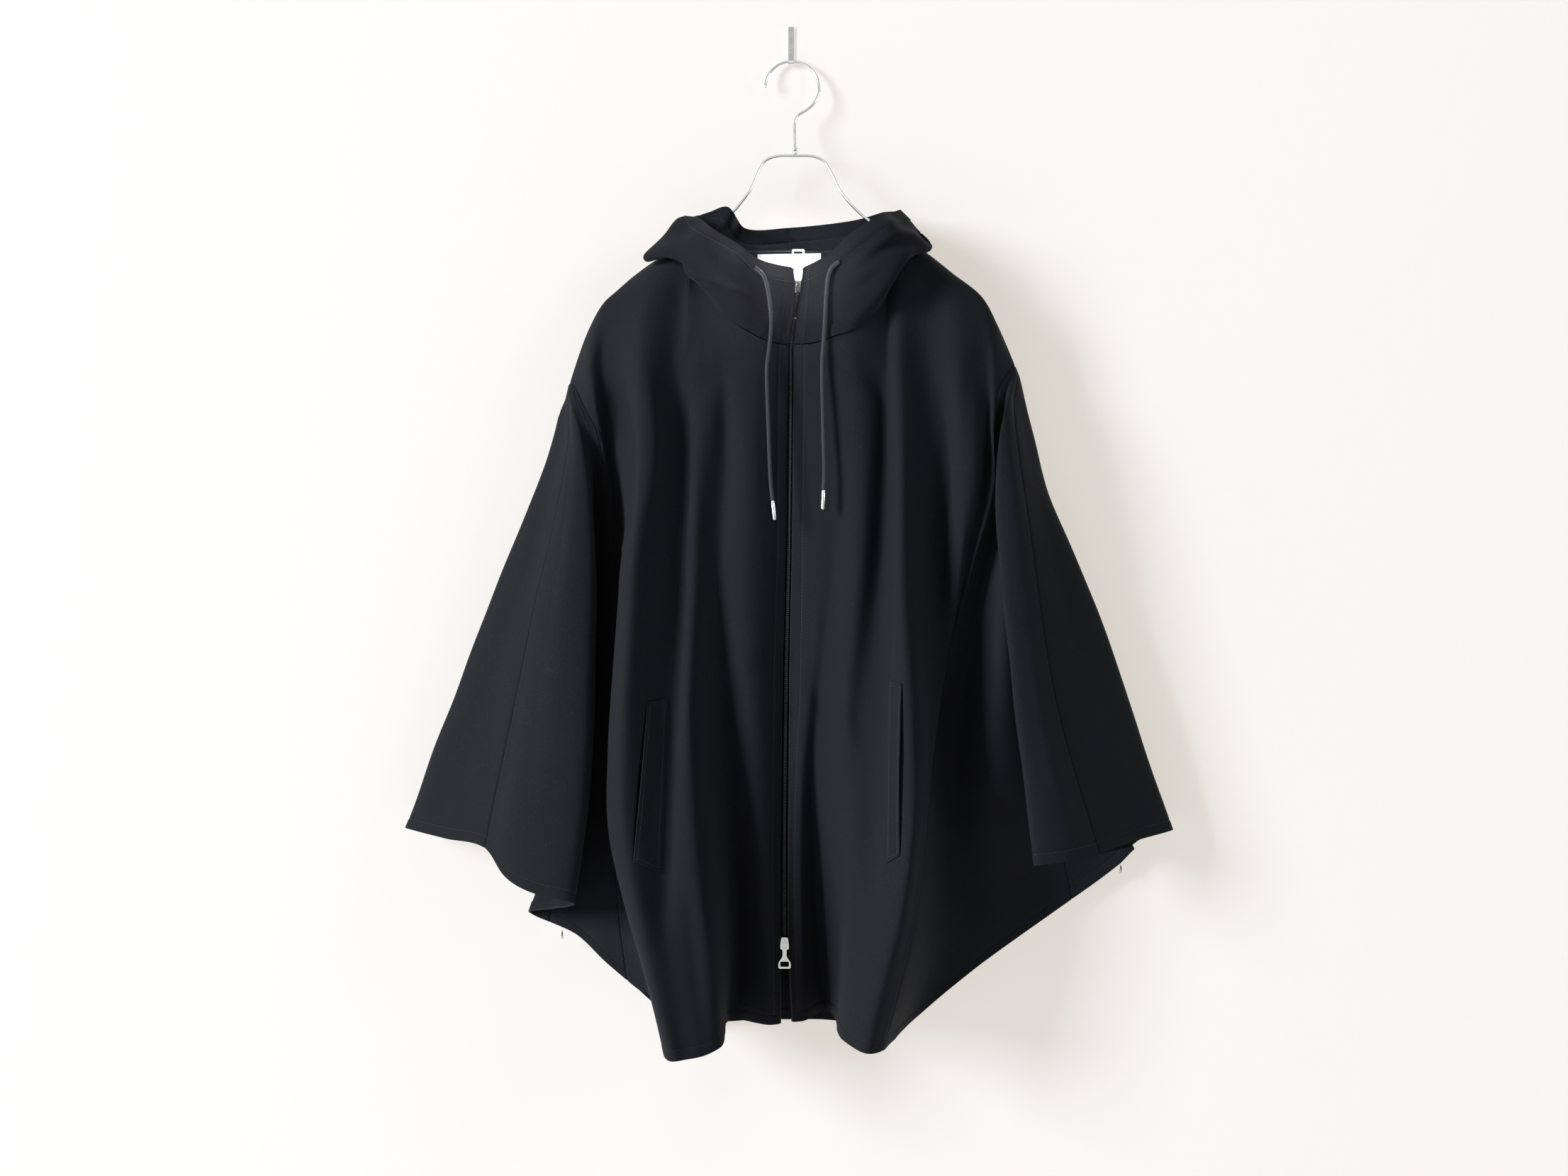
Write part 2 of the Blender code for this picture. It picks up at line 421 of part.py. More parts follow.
def lift_off(grid, tree, clearance):
    """Moves the triangles that are too near a surface, or through it, out to this clearance."""
    flat = grid.reshape(-1, 3).copy()
    weights = ((1, 0, 0), (0, 1, 0), (0, 0, 1), (0.5, 0.5, 0), (0, 0.5, 0.5), (0.5, 0, 0.5), (0.34, 0.33, 0.33))
    for _ in range(6):
        for corners in triangles(flat.reshape(grid.shape)):
            for weight in weights:
                at = np.array(weight) @ flat[list(corners)]
                spot, way, _, _ = tree.find_nearest(Vector(at))
                way = -np.array(way)
                short = clearance - (at - np.array(spot)) @ way
                if short > 0.05 and np.linalg.norm(at - np.array(spot)) < 3 * clearance:
                    for corner, share in zip(corners, weight):
                        flat[corner] += way * min(short, clearance) * (share > 0)
    grid[:] = flat.reshape(grid.shape)


def material(look):
    """A plain material for one piece."""
    colour, roughness, metallic = look
    made = bpy.data.materials.new("look")
    made.use_nodes = True
    shader = made.node_tree.nodes["Principled BSDF"]
    shader.inputs["Base Color"].default_value = (*colour, 1.0)
    shader.inputs["Roughness"].default_value = roughness
    shader.inputs["Metallic"].default_value = metallic
    made.diffuse_color = (*colour, 1.0)
    return made


def add(name, data, look, origin=(0, 0, 0)):
    """One named object, with its origin here (millimetres)."""
    data.name = name
    made = bpy.data.objects.new(name, data)
    made.location = np.array(origin) * MM
    bpy.context.scene.collection.objects.link(made)
    paint = material(look)
    paint.name = name
    data.materials.append(paint)
    return made


def mesh_of(points, faces, origin=(0, 0, 0), sharp=35):
    """A closed mesh from millimetre points, with its faces turned outwards."""
    shape = bmesh.new()
    corners = [shape.verts.new((np.array(point) - origin) * MM) for point in points]
    for face in faces:
        shape.faces.new([corners[number] for number in face])
    bmesh.ops.recalc_face_normals(shape, faces=shape.faces)
    data = bpy.data.meshes.new("mesh")
    shape.to_mesh(data)
    shape.free()
    data.shade_smooth()
    data.set_sharp_from_angle(angle=math.radians(sharp))
    return data


def triangles(grid):
    """The triangles of a grid of points, each cell split along its shorter diagonal."""
    rows, columns = grid.shape[:2]
    points = grid.reshape(-1, 3)
    found = []
    for row in range(rows - 1):
        for column in range(columns - 1):
            a = row * columns + column
            b, c, d = a + 1, a + columns + 1, a + columns
            if np.linalg.norm(points[a] - points[c]) < np.linalg.norm(points[b] - points[d]):
                found += [(a, b, c), (a, c, d)]
            else:
                found += [(a, b, d), (b, c, d)]
    return found


def grid_tree(grid):
    """A surface that lines of sight and nearest points can be found on."""
    return BVHTree.FromPolygons(grid.reshape(-1, 3).tolist(), triangles(grid))


def wall(name, grid, ways, thickness, look):
    """A cloth or tape wall on a grid of middle points. It gives back the object, its points and its triangles."""
    rows, columns = grid.shape[:2]
    half = ways * (thickness / 2)
    points = np.vstack([(grid + half).reshape(-1, 3), (grid - half).reshape(-1, 3)])
    behind = rows * columns
    faces = []
    for one in triangles(grid):
        faces += [one, tuple(behind + corner for corner in reversed(one))]
    border = [*range(columns), *range(2 * columns - 1, behind, columns)]
    border += [*range(behind - 2, behind - columns - 1, -1), *range(behind - 2 * columns, 0, -columns)]
    for one, two in zip(border, border[1:] + border[:1]):
        faces.append((two, one, behind + one, behind + two))
    return add(name, mesh_of(points, faces), look), points, faces


def panel(name, grid, ways, first, last, look=BLACK_CLOTH, free=()):
    """The piece between two columns of the cloth, drawn in a little at each seam."""
    cut = grid[:, first:last + 1].copy()
    if "first" not in free:
        cut[:, 0] += unit(cut[:, 1] - cut[:, 0]) * (SEAM_GAP / 2)
    if "last" not in free:
        cut[:, -1] += unit(cut[:, -2] - cut[:, -1]) * (SEAM_GAP / 2)
    return wall(name, cut, ways[:, first:last + 1], CLOTH, look)


def tube(name, path, width, look, closed=False, widths=None, roundness=2):
    """A round wire or cord along a path of millimetre points."""
    data = bpy.data.curves.new(name, "CURVE")
    data.dimensions = "3D"
    data.bevel_depth = width / 2 * MM
    data.bevel_resolution = roundness
    data.use_fill_caps = not closed
    line = data.splines.new("POLY")
    line.points.add(len(path) - 1)
    for number, (knot, spot) in enumerate(zip(line.points, path)):
        knot.co = (*(np.array(spot) * MM), 1.0)
        knot.radius = widths[number] / width if widths is not None else 1.0
    line.use_cyclic_u = closed
    line.use_smooth = True
    return add(name, data, look)


def plate(outline, holes, thickness):
    """A flat plate in the plane of its first two sizes, with holes, centred on its third: points and faces."""
    shape = bmesh.new()
    rings = []
    for ring in (outline, *holes):
        corners = [shape.verts.new((one, two, 0)) for one, two in ring]
        edges = [shape.edges.new(pair) for pair in zip(corners, corners[1:] + corners[:1])]
        rings.append((corners, edges))
    bmesh.ops.triangle_fill(shape, use_beauty=True, edges=[edge for _, edges in rings for edge in edges])
    shape.verts.index_update()
    flat = np.array([vert.co[:] for vert in shape.verts])
    sides = [[vert.index for vert in face.verts] for face in shape.faces]
    walls = [[vert.index for vert in edge.verts] for _, edges in rings for edge in edges]
    shape.free()
    above = len(flat)
    rise = np.array((0, 0, thickness / 2))
    faces = [*sides, *[[above + corner for corner in reversed(side)] for side in sides]]
    faces += [[one, two, above + two, above + one] for one, two in walls]
    return np.vstack([flat - rise, flat + rise]), faces


def framed(points, centre, right, up, out):
    """Local points set into the frame of a slider or a tab."""
    return np.array(centre) + points @ np.array((right, up, out), float)


def rounded(corners, radius, steps=3):
    """An outline with its corners rounded."""
    corners = np.array(corners, float)
    ring = []
    for before, corner, after in zip(np.roll(corners, 1, 0), corners, np.roll(corners, -1, 0)):
        cut = min(radius, np.linalg.norm(before - corner) * 0.45, np.linalg.norm(after - corner) * 0.45)
        start = corner + unit(before - corner) * cut
        end = corner + unit(after - corner) * cut
        for step in range(steps + 1):
            t = step / steps
            ring.append((1 - t) ** 2 * start + 2 * t * (1 - t) * corner + t**2 * end)
    return [tuple(point) for point in ring]


def box_ring(wide, low, high, middle=0.0):
    """The four corners of a rectangle."""
    return [(middle - wide / 2, low), (middle + wide / 2, low), (middle + wide / 2, high), (middle - wide / 2, high)]


def slider(name, centre, right, up, out, size=1.0):
    """A zip slider: a shield plate with an arch on its front that the tab's end bar runs under."""
    long, wide, narrow = SLIDER_LONG * size, SLIDER_WIDE * size, SLIDER_NARROW * size
    shield = rounded([(-narrow / 2, -long / 2), (narrow / 2, -long / 2), (wide / 2, long * 0.1), (wide / 2, long / 2),
                      (-wide / 2, long / 2), (-wide / 2, long * 0.1)], 1.6)
    points, faces = plate(shield, (), SLIDER_THICK)
    body = add(name, mesh_of(framed(points, centre, right, up, out), faces), NICKEL)
    root = SLIDER_THICK / 2 - BAIL_ROOTED
    top = SLIDER_THICK / 2 + BAIL_HIGH
    arch = rounded(box_ring(BAIL_LONG, root, top), 1.0)
    window = rounded(box_ring(BAIL_LONG - 2 * BAIL_WALL, SLIDER_THICK / 2, top - BAIL_WALL), 0.4)
    points, faces = plate(arch, (window,), BAIL_WIDE)
    bail = add(name + "_bail", mesh_of(framed(points, centre, up, out, right), faces), NICKEL)
    bail.hide_render = True
    bail.hide_viewport = True
    bail.display_type = "WIRE"
    join = body.modifiers.new("bail", "BOOLEAN")
    join.operation = "UNION"
    join.solver = "EXACT"
    join.object = bail
    return body


def pivot_of(centre, out):
    """Where the tab's end bar lies, in the middle of the arch's window."""
    return np.array(centre) + np.array(out) * (SLIDER_THICK / 2 + (BAIL_HIGH - BAIL_WALL) / 2)


def pull_tab(name, pivot, right, away, out, size=1.0):
    """A tab from its end bar outwards: an eye round the arch, a neck and a wide ring. Its origin is on the bar."""
    eye, wide, long = TAB_EYE_WIDE, TAB_WIDE * size, TAB_LONG * size
    half = (
        (eye / 2, -TAB_BAR / 2),
        (eye / 2, TAB_EYE_LONG - TAB_BAR / 2),
        (TAB_NECK / 2, 7.5),
        (TAB_NECK / 2, long - 12.5 * size),
        (wide / 2, long - 6.0 * size),
        (wide / 2, long),
    )
    outline = [*half, *[(-side, far) for side, far in reversed(half)]]
    hole = box_ring(wide - 2 * TAB_RIM, long - 7.4 * size, long - TAB_RIM)
    eyelet = box_ring(BAIL_WIDE + 1.5, TAB_BAR / 2, TAB_EYE_LONG - TAB_BAR)
    points, faces = plate(rounded(outline, 1.8), (rounded(hole, 1.4), rounded(eyelet, 0.5)), TAB_THICK)
    return add(name, mesh_of(framed(points, pivot, right, away, out), faces, pivot), NICKEL, pivot)


def seen_on(tree, across, drop, deepest=False):
    """Where the line of sight through this point of the front view meets a surface, and the way out towards it."""
    eye = np.array((EYE_ACROSS, -EYE_BACK, -EYE_DROP))
    aim = unit(place(across, drop, DRAWN_AT) - eye)
    spot, way, _, _ = tree.ray_cast(Vector(eye), Vector(aim))
    further = tree.ray_cast(spot + Vector(aim), Vector(aim)) if deepest else (None,)
    while further[0] is not None:
        spot, way = further[:2]
        further = tree.ray_cast(spot + Vector(aim), Vector(aim))
    way = np.array(way)
    return np.array(spot), way if way @ aim < 0 else -way


def patch(name, corners, tree, thickness, lift, rows, columns, look):
    """A flat piece that lies on the cloth: its corners are first top, first bottom, last top and last bottom."""
    first_top, first_bottom, last_top, last_bottom = (np.array(corner, float) for corner in corners)
    grid = np.zeros((rows + 1, columns + 1, 3))
    ways = np.zeros_like(grid)
    for row in range(rows + 1):
        for column in range(columns + 1):
            down, over = row / rows, column / columns
            first = first_top + (first_bottom - first_top) * down
            last = last_top + (last_bottom - last_top) * down
            spot, way = seen_on(tree, *(first + (last - first) * over))
            grid[row, column] = spot
            ways[row, column] = way
    ways = unit(ways + unit(ways.mean(axis=(0, 1))))
    return wall(name, grid + ways * (thickness / 2 + lift), ways, thickness, look)


def main():
    """Builds every piece."""
    for old in list(bpy.data.objects):
        bpy.data.objects.remove(old)

    # The cloth: one loop from the right front edge round the back to the left front edge.
    row_at = [(row / ROWS) ** 1.5 for row in range(ROWS + 1)]
    names, lines, side_of = [], [], []
    parts = (
        ("right", RIGHT_FRONT, 1),
        ("right", fanned(RIGHT_SLEEVE, RIGHT_FAN_TOP, 1), 1),
        ("right", RIGHT_BACK, 1),
        ("middle", BACK_CENTRE, 1),
        ("left", LEFT_BACK, -1),
        ("left", fanned(LEFT_SLEEVE, LEFT_FAN_TOP, -1), -1),
        ("left", LEFT_FRONT, -1),
    )
    for side, table, order in parts:
        new_names, new_lines = guides(table, row_at)
        names += new_names[::order]
        lines += new_lines[::order]
        side_of += [side] * len(new_names)
    column_of = {pair: BETWEEN * number for number, pair in enumerate(zip(side_of, names))}
    column_of["right", "neck front"] = column_of["right", "crest"] - 1
    column_of["left", "neck front"] = column_of["left", "upper valley"] + 1
    cloth = surface(lines, BETWEEN)
    ways = offsets(cloth)
    join_shoulder(cloth, ways, column_of["right", "crest"], column_of["right", "side seam"],
                  column_of["right", "back seam"], column_of["right", "back neck side"])
    join_shoulder(cloth, ways, column_of["left", "side seam"], column_of["left", "upper valley"],
                  column_of["left", "back neck side"], column_of["left", "back seam"])

    last = cloth.shape[1] - 1
    seam_names = ("side seam", "side back fold", "overarm seam", "back seam")
    seam, fold, over, behind = [column_of["right", name] for name in seam_names]
    fold -= 1  # the cut lies one column inside the fold
    front_right = panel("front_right", cloth, ways, 0, seam, free=("first",))
    panel("side_right", cloth, ways, seam, fold)
    panel("sleeve_front_right", cloth, ways, fold, over)
    panel("sleeve_back_right", cloth, ways, over, behind)
    left_seam, left_fold, left_over, left_behind = [column_of["left", name] for name in seam_names]
    left_fold += 1
    back = panel("back", cloth, ways, behind, left_behind)
    panel("sleeve_back_left", cloth, ways, left_behind, left_over)
    panel("sleeve_front_left", cloth, ways, left_over, left_fold)
    panel("side_left", cloth, ways, left_fold, left_seam)
    front_left = panel("front_left", cloth, ways, left_seam, last, free=("last",))

    # The hood: a pouch behind the back neck and a roll to each side of the zip.
    hood_at = [row / HOOD_ROWS for row in range(HOOD_ROWS + 1)]
    hood_lines = []
    for side, table, order in (("right", RIGHT_HOOD, 1), ("middle", HOOD_CENTRE, 1), ("left", LEFT_HOOD, -1)):
        new_names, new_lines = guides(table, hood_at)
        for name, line in zip(new_names, new_lines):
            if name in LAPPED:
                column = column_of[side, name]
                start = cloth[0, column] + ways[0, column] * NECK_LAP
                line += np.outer((1 - np.array(hood_at)) ** 4, start - line[0])
        hood_lines += new_lines[::order]
    hood = surface(hood_lines, BETWEEN)
    lift_off(hood[:NEAR_ROWS, 2 * BETWEEN:-2 * BETWEEN], grid_tree(cloth[:NEAR_ROWS + 3]), NECK_CLEAR)
    hood_ways = offsets(hood)
    middle = BETWEEN * len(RIGHT_HOOD)
    panel("hood_right", hood, hood_ways, 0, middle, free=("first",))
    panel("hood_left", hood, hood_ways, middle, hood.shape[1] - 1, free=("last",))

    # Hanger: the hook with its ferrule, and one wire for the arms and the bar.
    def lean(across, drop):
        return place(across, drop, HOOK_SEAT + HANGER_LEAN * (drop - HOOK_TOP_DROP))

    hook = []
    for step in range(17):
        turn = math.pi * (1 - step / 16)
        hook.append((HOOK_CENTRE[0] + HOOK_ACROSS * math.cos(turn), HOOK_CENTRE[1] - HOOK_TALL * math.sin(turn)))
    hook_path = smooth([lean(*spot) for spot in (*hook, *HOOK_NECK)], 3)
    foot = ARM_NECK_DROP - WIRE / 2 - SEAM_GAP
    neck = [lean(FERRULE_ACROSS, drop) for drop in (FERRULE_TOP, FERRULE_TOP + 0.4, foot - 0.4, foot)]
    widths = [HOOK_WIRE] * (len(hook_path) + 1) + [FERRULE_WIDE, FERRULE_WIDE, FERRULE_WIDE - 0.8]
    tube("hanger_hook", [*hook_path, *neck], HOOK_WIRE, CHROME, widths=widths)

    def shoulder(side, first_name, last_name):
        ends = sorted((column_of[side, first_name], column_of[side, last_name]))
        line = cloth[0, ends[0]:ends[1] + 1]
        run = unit(line[-1] - line[0])
        below = unit(np.cross(run, (0, 1, 0)))
        below = below * -np.sign(below[2])
        line = line if side == "right" else line[::-1]
        sink = np.linspace(ARM_SINK, 0, len(line))[:, None]
        return line + below * (ARM_BELOW + sink) - np.array((0, HANGER_BEFORE_SEAM, 0))

    right_line = shoulder("right", "crest", "arm valley")[:-1]
    left_line = shoulder("left", "upper valley", "arm valley")[:-1]
    arms = [lean(*spot) for spot in RIGHT_ARM] + list(right_line)
    tip = -right_line[-1][1]
    arms += [place(across, drop, tip + 2) for across, drop in RIGHT_TIP]
    back_way = [lean(*spot) for spot in reversed(LEFT_ARM)]
    left_side = list(left_line[::-1]) + back_way
    left_tip = -left_line[-1][1]
    arms += [place(across, drop, left_tip + 2) for across, drop in reversed(LEFT_TIP)] + left_side
    arms_path = smooth([*arms, arms[0]], 2)[:-1]
    tube("hanger_arms", arms_path, WIRE, CHROME, closed=True)

    # Wall hook: a strip bent to a J, drawn from the side as (forward, up).
    reach, level = HOOK_BEND_CENTRE
    inner = reach - STRIP_THICK
    turns = [math.pi * step / 12 for step in range(13)]
    profile = [(0.0, HOOK_PLATE_TOP)]
    profile += [(reach - (inner + STRIP_THICK) * math.cos(turn), level - (inner + STRIP_THICK) * math.sin(turn))
                for turn in turns]
    profile += [(reach + inner + STRIP_THICK, HOOK_LIP_TOP), (reach + inner, HOOK_LIP_TOP)]
    profile += [(reach - inner * math.cos(turn), level - inner * math.sin(turn)) for turn in reversed(turns)]
    profile += [(STRIP_THICK, HOOK_PLATE_TOP)]
    points, faces = plate(profile, (), STRIP)
    points = framed(points, (HOOK_MIDDLE, 0, 0), (0, -1, 0), (0, 0, 1), (1, 0, 0))
    add("wall_hook", mesh_of(points, faces, sharp=30), SATIN)

    # Zip: two tapes inside the front edges, and the chain between the two sliders.
    right_edge = np.vstack([hood[::-1, 0], cloth[:, 0]])
    right_next = np.vstack([hood[::-1, 1], cloth[:, 1]])
    right_way = np.vstack([-hood_ways[::-1, 0], ways[:, 0]])
    left_edge = np.vstack([hood[::-1, -1], cloth[:, -1]])
    left_next = np.vstack([hood[::-1, -2], cloth[:, -2]])
    left_way = np.vstack([-hood_ways[::-1, -1], ways[:, -1]])
    sink = CLOTH / 2 + SEAM_GAP + TAPE_THICK / 2
    centre = (right_edge + left_edge) / 2 - unit(right_way + left_way) * sink
    for name, edge, near, way in (("zip_tape_right", right_edge, right_next, right_way),
                                  ("zip_tape_left", left_edge, left_next, left_way)):
        away = unit(near - edge)
        room = np.linalg.norm(right_edge - left_edge, axis=1, keepdims=True) / 2 - CHAIN_WIDE / 2 - SEAM_GAP
        start = edge - away * np.minimum(room, TAPE_SHOWS)
        deep = np.minimum(np.linalg.norm(near - edge, axis=1, keepdims=True) * 0.85, TAPE_WIDE)
        grid = np.stack([start, edge, edge + away * deep], axis=1) - unit(way)[:, None] * sink
        flat = np.repeat(unit(way)[:, None], 3, axis=1)
        wall(name, grid, flat, TAPE_THICK, BLACK_TAPE)

    drops = [TOP_SLIDER_DROP + SLIDER_LONG / 2 + SEAM_GAP, BOTTOM_SLIDER_DROP - SLIDER_LONG / 2 - SEAM_GAP]
    top_z, bottom_z = place(0, drops[0], -centre[3][1])[2], place(0, drops[1], 62)[2]
    rows_z = [top_z, *[z for z in centre[:, 2] if bottom_z + 2 < z < top_z - 2], bottom_z]
    chain = np.stack([np.interp(rows_z, centre[::-1, 2], centre[::-1, axis]) for axis in range(3)], axis=1)
    half = np.array((CHAIN_WIDE / 2, 0, 0))
    grid = np.stack([chain - half, chain + half], axis=1)
    facing = np.repeat(np.array((0.0, -1.0, 0.0))[None], len(chain), axis=0)[:, None].repeat(2, axis=1)
    wall("zip_chain", grid, facing, CHAIN_THICK, BLACK_TAPE)

    lift = TAPE_THICK / 2 + 2 * SEAM_GAP + SLIDER_THICK / 2
    right, up, out = (1, 0, 0), (0, 0, 1), (0, -1, 0)
    top_z = top_z + (SLIDER_LONG / 2 + SEAM_GAP)
    bottom_z = bottom_z - (SLIDER_LONG / 2 + SEAM_GAP)
    for name, height, way, away in (("top", top_z, up, up), ("bottom", bottom_z, (0, 0, -1), (0, 0, -1))):
        spot = np.array([np.interp(height, centre[::-1, 2], centre[::-1, axis]) for axis in range(3)])
        spot = spot + np.array(out) * lift
        slider("slider_" + name, spot, right, way, out)
        pull_tab("pull_" + name, pivot_of(spot, out), right, away, out)

    # Side zips: a strip on edge from the front layer to the back layer, with a slider at the hem.
    pieces = {"right": (RIGHT_SIDE_ZIP, 1), "left": (LEFT_SIDE_ZIP, -1)}
    for side, (path, outward) in pieces.items():
        near_columns = sorted((column_of[side, "side seam"], column_of[side, "sleeve under"]))
        far_columns = sorted((column_of[side, "sleeve behind"], column_of[side, "back fold"]))
        near_tree = grid_tree(cloth[:, near_columns[0]:near_columns[1] + 1])
        far_tree = grid_tree(cloth[:, far_columns[0]:far_columns[1] + 1])
        strip = []
        for across, drop, _ in smooth([(*spot, 0) for spot in path], 3):
            near, _ = seen_on(near_tree, across, drop, deepest=True)
            far, _ = seen_on(far_tree, across, drop)
            run = unit(far - near)
            strip.append((near + run * SIDE_ZIP_CLEAR, far - run * SIDE_ZIP_CLEAR))
        grid = np.array(strip)
        grid[0] += unit(grid[0] - grid[1]) * SIDE_ZIP_BELOW
        flat = np.repeat(np.array((float(outward), 0.0, 0.0))[None], 2 * len(grid), axis=0).reshape(len(grid), 2, 3)
        wall("side_zip_" + side, grid, flat, SIDE_ZIP_THICK, BLACK_TAPE)
        foot = grid[0].mean(axis=0) - np.array((0, 0, SLIDER_LONG * SIDE_SLIDER_SIZE / 2 + SEAM_GAP))
        facing = (outward, 0, 0)
        slider("side_slider_" + side, foot, (0, 1, 0), (0, 0, -1), facing, SIDE_SLIDER_SIZE)
        pull_tab("side_pull_" + side, pivot_of(foot, facing), (0, 1, 0), (0, 0, -1), facing, SIDE_TAB_SIZE)

    # Pieces that lie on the cloth.
    front_left_tree = BVHTree.FromPolygons(*front_left[1:])
    front_right_tree = BVHTree.FromPolygons(*front_right[1:])
    back_tree = BVHTree.FromPolygons(*back[1:])
    patch("pocket_welt_left", LEFT_WELT, front_left_tree, WELT_THICK, WELT_LIFT, 10, 2, BLACK_CLOTH)
    patch("pocket_welt_right", RIGHT_WELT, front_right_tree, WELT_THICK, WELT_LIFT, 10, 2, BLACK_CLOTH)
    patch("label", LABEL, back_tree, LABEL_THICK, LABEL_LIFT, 5, 6, BLACK_TAPE)

    # Drawcords with their metal ends.
    for name, path in (("left", LEFT_CORD), ("right", RIGHT_CORD)):
        fine = smooth([place(*spot) for spot in path], 12)
        run = unit(fine[-1] - fine[-2])
        cord = along(fine, [step / CORD_POINTS for step in range(CORD_POINTS + 1)])
        tube("drawcord_" + name, cord, CORD, BLACK_CORD)
        start = cord[-1] + run * SEAM_GAP
        ends = [start, start + run * 0.5, start + run * (AGLET_LENGTH - 0.5), start + run * AGLET_LENGTH]
        tube("aglet_" + name, ends, AGLET, NICKEL, widths=[AGLET - 0.6, AGLET, AGLET, AGLET - 0.6], roundness=3)


main()
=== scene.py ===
# %% [markdown]
# # A hooded zip poncho on a wire hanger
# The poncho is one loop of heavy black double knit, open at the front, that hangs from a wire
# hanger on a small wall hook. Side zips pinch its front layer to its back layer, which makes the
# wing sleeves. The cloth is the main form here, so it gets real folds, hems, seams and stitches.
# Everything is drawn in the frame of the solid model, in metres, with +Z up and the wall at Y = 0.

# %% The frame
import math

import bmesh
import bpy
import numpy as np
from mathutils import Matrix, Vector
from mathutils.bvhtree import BVHTree


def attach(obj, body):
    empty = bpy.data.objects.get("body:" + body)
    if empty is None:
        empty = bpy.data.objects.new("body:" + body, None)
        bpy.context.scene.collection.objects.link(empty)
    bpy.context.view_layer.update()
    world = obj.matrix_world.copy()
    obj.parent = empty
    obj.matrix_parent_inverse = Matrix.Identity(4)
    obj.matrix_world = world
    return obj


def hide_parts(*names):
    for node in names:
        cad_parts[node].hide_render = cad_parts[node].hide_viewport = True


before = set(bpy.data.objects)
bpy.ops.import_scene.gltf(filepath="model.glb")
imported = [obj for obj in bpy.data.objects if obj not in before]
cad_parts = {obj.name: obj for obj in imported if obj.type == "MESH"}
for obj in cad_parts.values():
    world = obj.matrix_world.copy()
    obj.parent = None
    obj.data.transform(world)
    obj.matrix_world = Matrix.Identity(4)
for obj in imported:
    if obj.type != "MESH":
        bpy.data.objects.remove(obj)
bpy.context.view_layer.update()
GARMENT = "poncho"
MM = 0.001


# %% [markdown]
# ## The eye and the camera
# The photograph is taken from straight in front, 2.3 m from the wall and at the height of the
# chest, so things that stand further out look a little larger. A camera is a position, a direction
# and a lens. The lens follows from how wide the view is at the garment: 0.75 mm for each of the
# 2212 pixels across. It needs no shift, because the horizon lies in the middle of the picture.

# %% The camera
EYE_BACK = 2300.0  # millimetres from the wall
EYE_ACROSS = -8.0
EYE_DROP = 584.0  # below the wall hook
DRAWN_AT = 40.0  # how far out from the wall the front view's sizes are true
IMAGE_WIDE = 2212
MM_PER_PIXEL = 0.75
SENSOR = 36.0

camera_data = bpy.data.cameras.new("camera")
camera_data.sensor_width = SENSOR
camera_data.lens = SENSOR * (EYE_BACK - DRAWN_AT) / (IMAGE_WIDE * MM_PER_PIXEL)
camera_data.clip_end = 50.0
camera = bpy.data.objects.new("camera", camera_data)
camera.location = (EYE_ACROSS * MM, -EYE_BACK * MM, -EYE_DROP * MM)
camera.rotation_euler = (math.radians(90), 0, 0)
bpy.context.scene.collection.objects.link(camera)
bpy.context.scene.camera = camera
print("lens", round(camera_data.lens, 2), "mm")

# %% [markdown]
# ## Points, lines and surfaces
# A maker drapes cloth along a few lines: each ridge, valley, seam and fold runs from the neck or
# the shoulder down to the hem. Those guide lines are easy to place, and a smooth curve
# across neighbouring ones gives the cloth between them. A subdivision surface would pull away from
# the lines, so the curve used here goes through every point of them.


# %% Helpers for points and lines
def place(across, drop, forward):
    """The true position, in millimetres, of a point of the front view this far out from the wall."""
    reach = (EYE_BACK - forward) / (EYE_BACK - DRAWN_AT)
    return np.array((EYE_ACROSS + (across - EYE_ACROSS) * reach, -forward,
                     -(EYE_DROP + (drop - EYE_DROP) * reach)))


def front_view(points):
    """(across, drop) of true points: place() the other way round."""
    reach = (EYE_BACK + points[..., 1]) / (EYE_BACK - DRAWN_AT)
    return np.stack([EYE_ACROSS + (points[..., 0] - EYE_ACROSS) / reach,
                     EYE_DROP - (points[..., 2] + EYE_DROP) / reach], axis=-1)


def unit(vector):
    """The vector, or each vector of an array, one long."""
    return vector / np.maximum(np.linalg.norm(vector, axis=-1, keepdims=True), 1e-9)


def smooth(points, steps):
    """A curve through the points, with this many samples from each one to the next."""
    points = np.array(points, float)
    ends = np.vstack([2 * points[0] - points[1], points, 2 * points[-1] - points[-2]])
    t = (np.arange(steps) / steps)[:, None]
    parts = []
    for before, start, end, after in zip(ends, ends[1:], ends[2:], ends[3:]):
        lead = max(np.linalg.norm(start - before), 1e-6) ** 0.5
        span = max(np.linalg.norm(end - start), 1e-6) ** 0.5
        tail = max(np.linalg.norm(after - end), 1e-6) ** 0.5
        step = end - start
        leaving = step + span * ((start - before) / lead - (end - before) / (lead + span))
        arriving = step + span * ((after - end) / tail - (after - start) / (span + tail))
        parts.append(start + t * leaving + t**2 * (3 * step - 2 * leaving - arriving)
                     + t**3 * (leaving + arriving - 2 * step))
    parts.append(points[-1:])
    return np.vstack(parts)


def walk(line):
    """How far along the line each of its points is."""
    return np.concatenate([[0], np.cumsum(np.linalg.norm(np.diff(line, axis=0), axis=1))])


def between(where, known, line):
    """Points of the line at these places, when its own points are at the known ones."""
    return np.stack([np.interp(where, known, line[:, axis]) for axis in range(3)], axis=1)


def at_lengths(line, lengths):
    """Points of the line at these lengths along it."""
    return between(lengths, walk(line), line)


def eased(share):
    """From 0 to 1 with a soft start and a soft end."""
    share = np.clip(share, 0, 1)
    return share**2 * (3 - 2 * share)


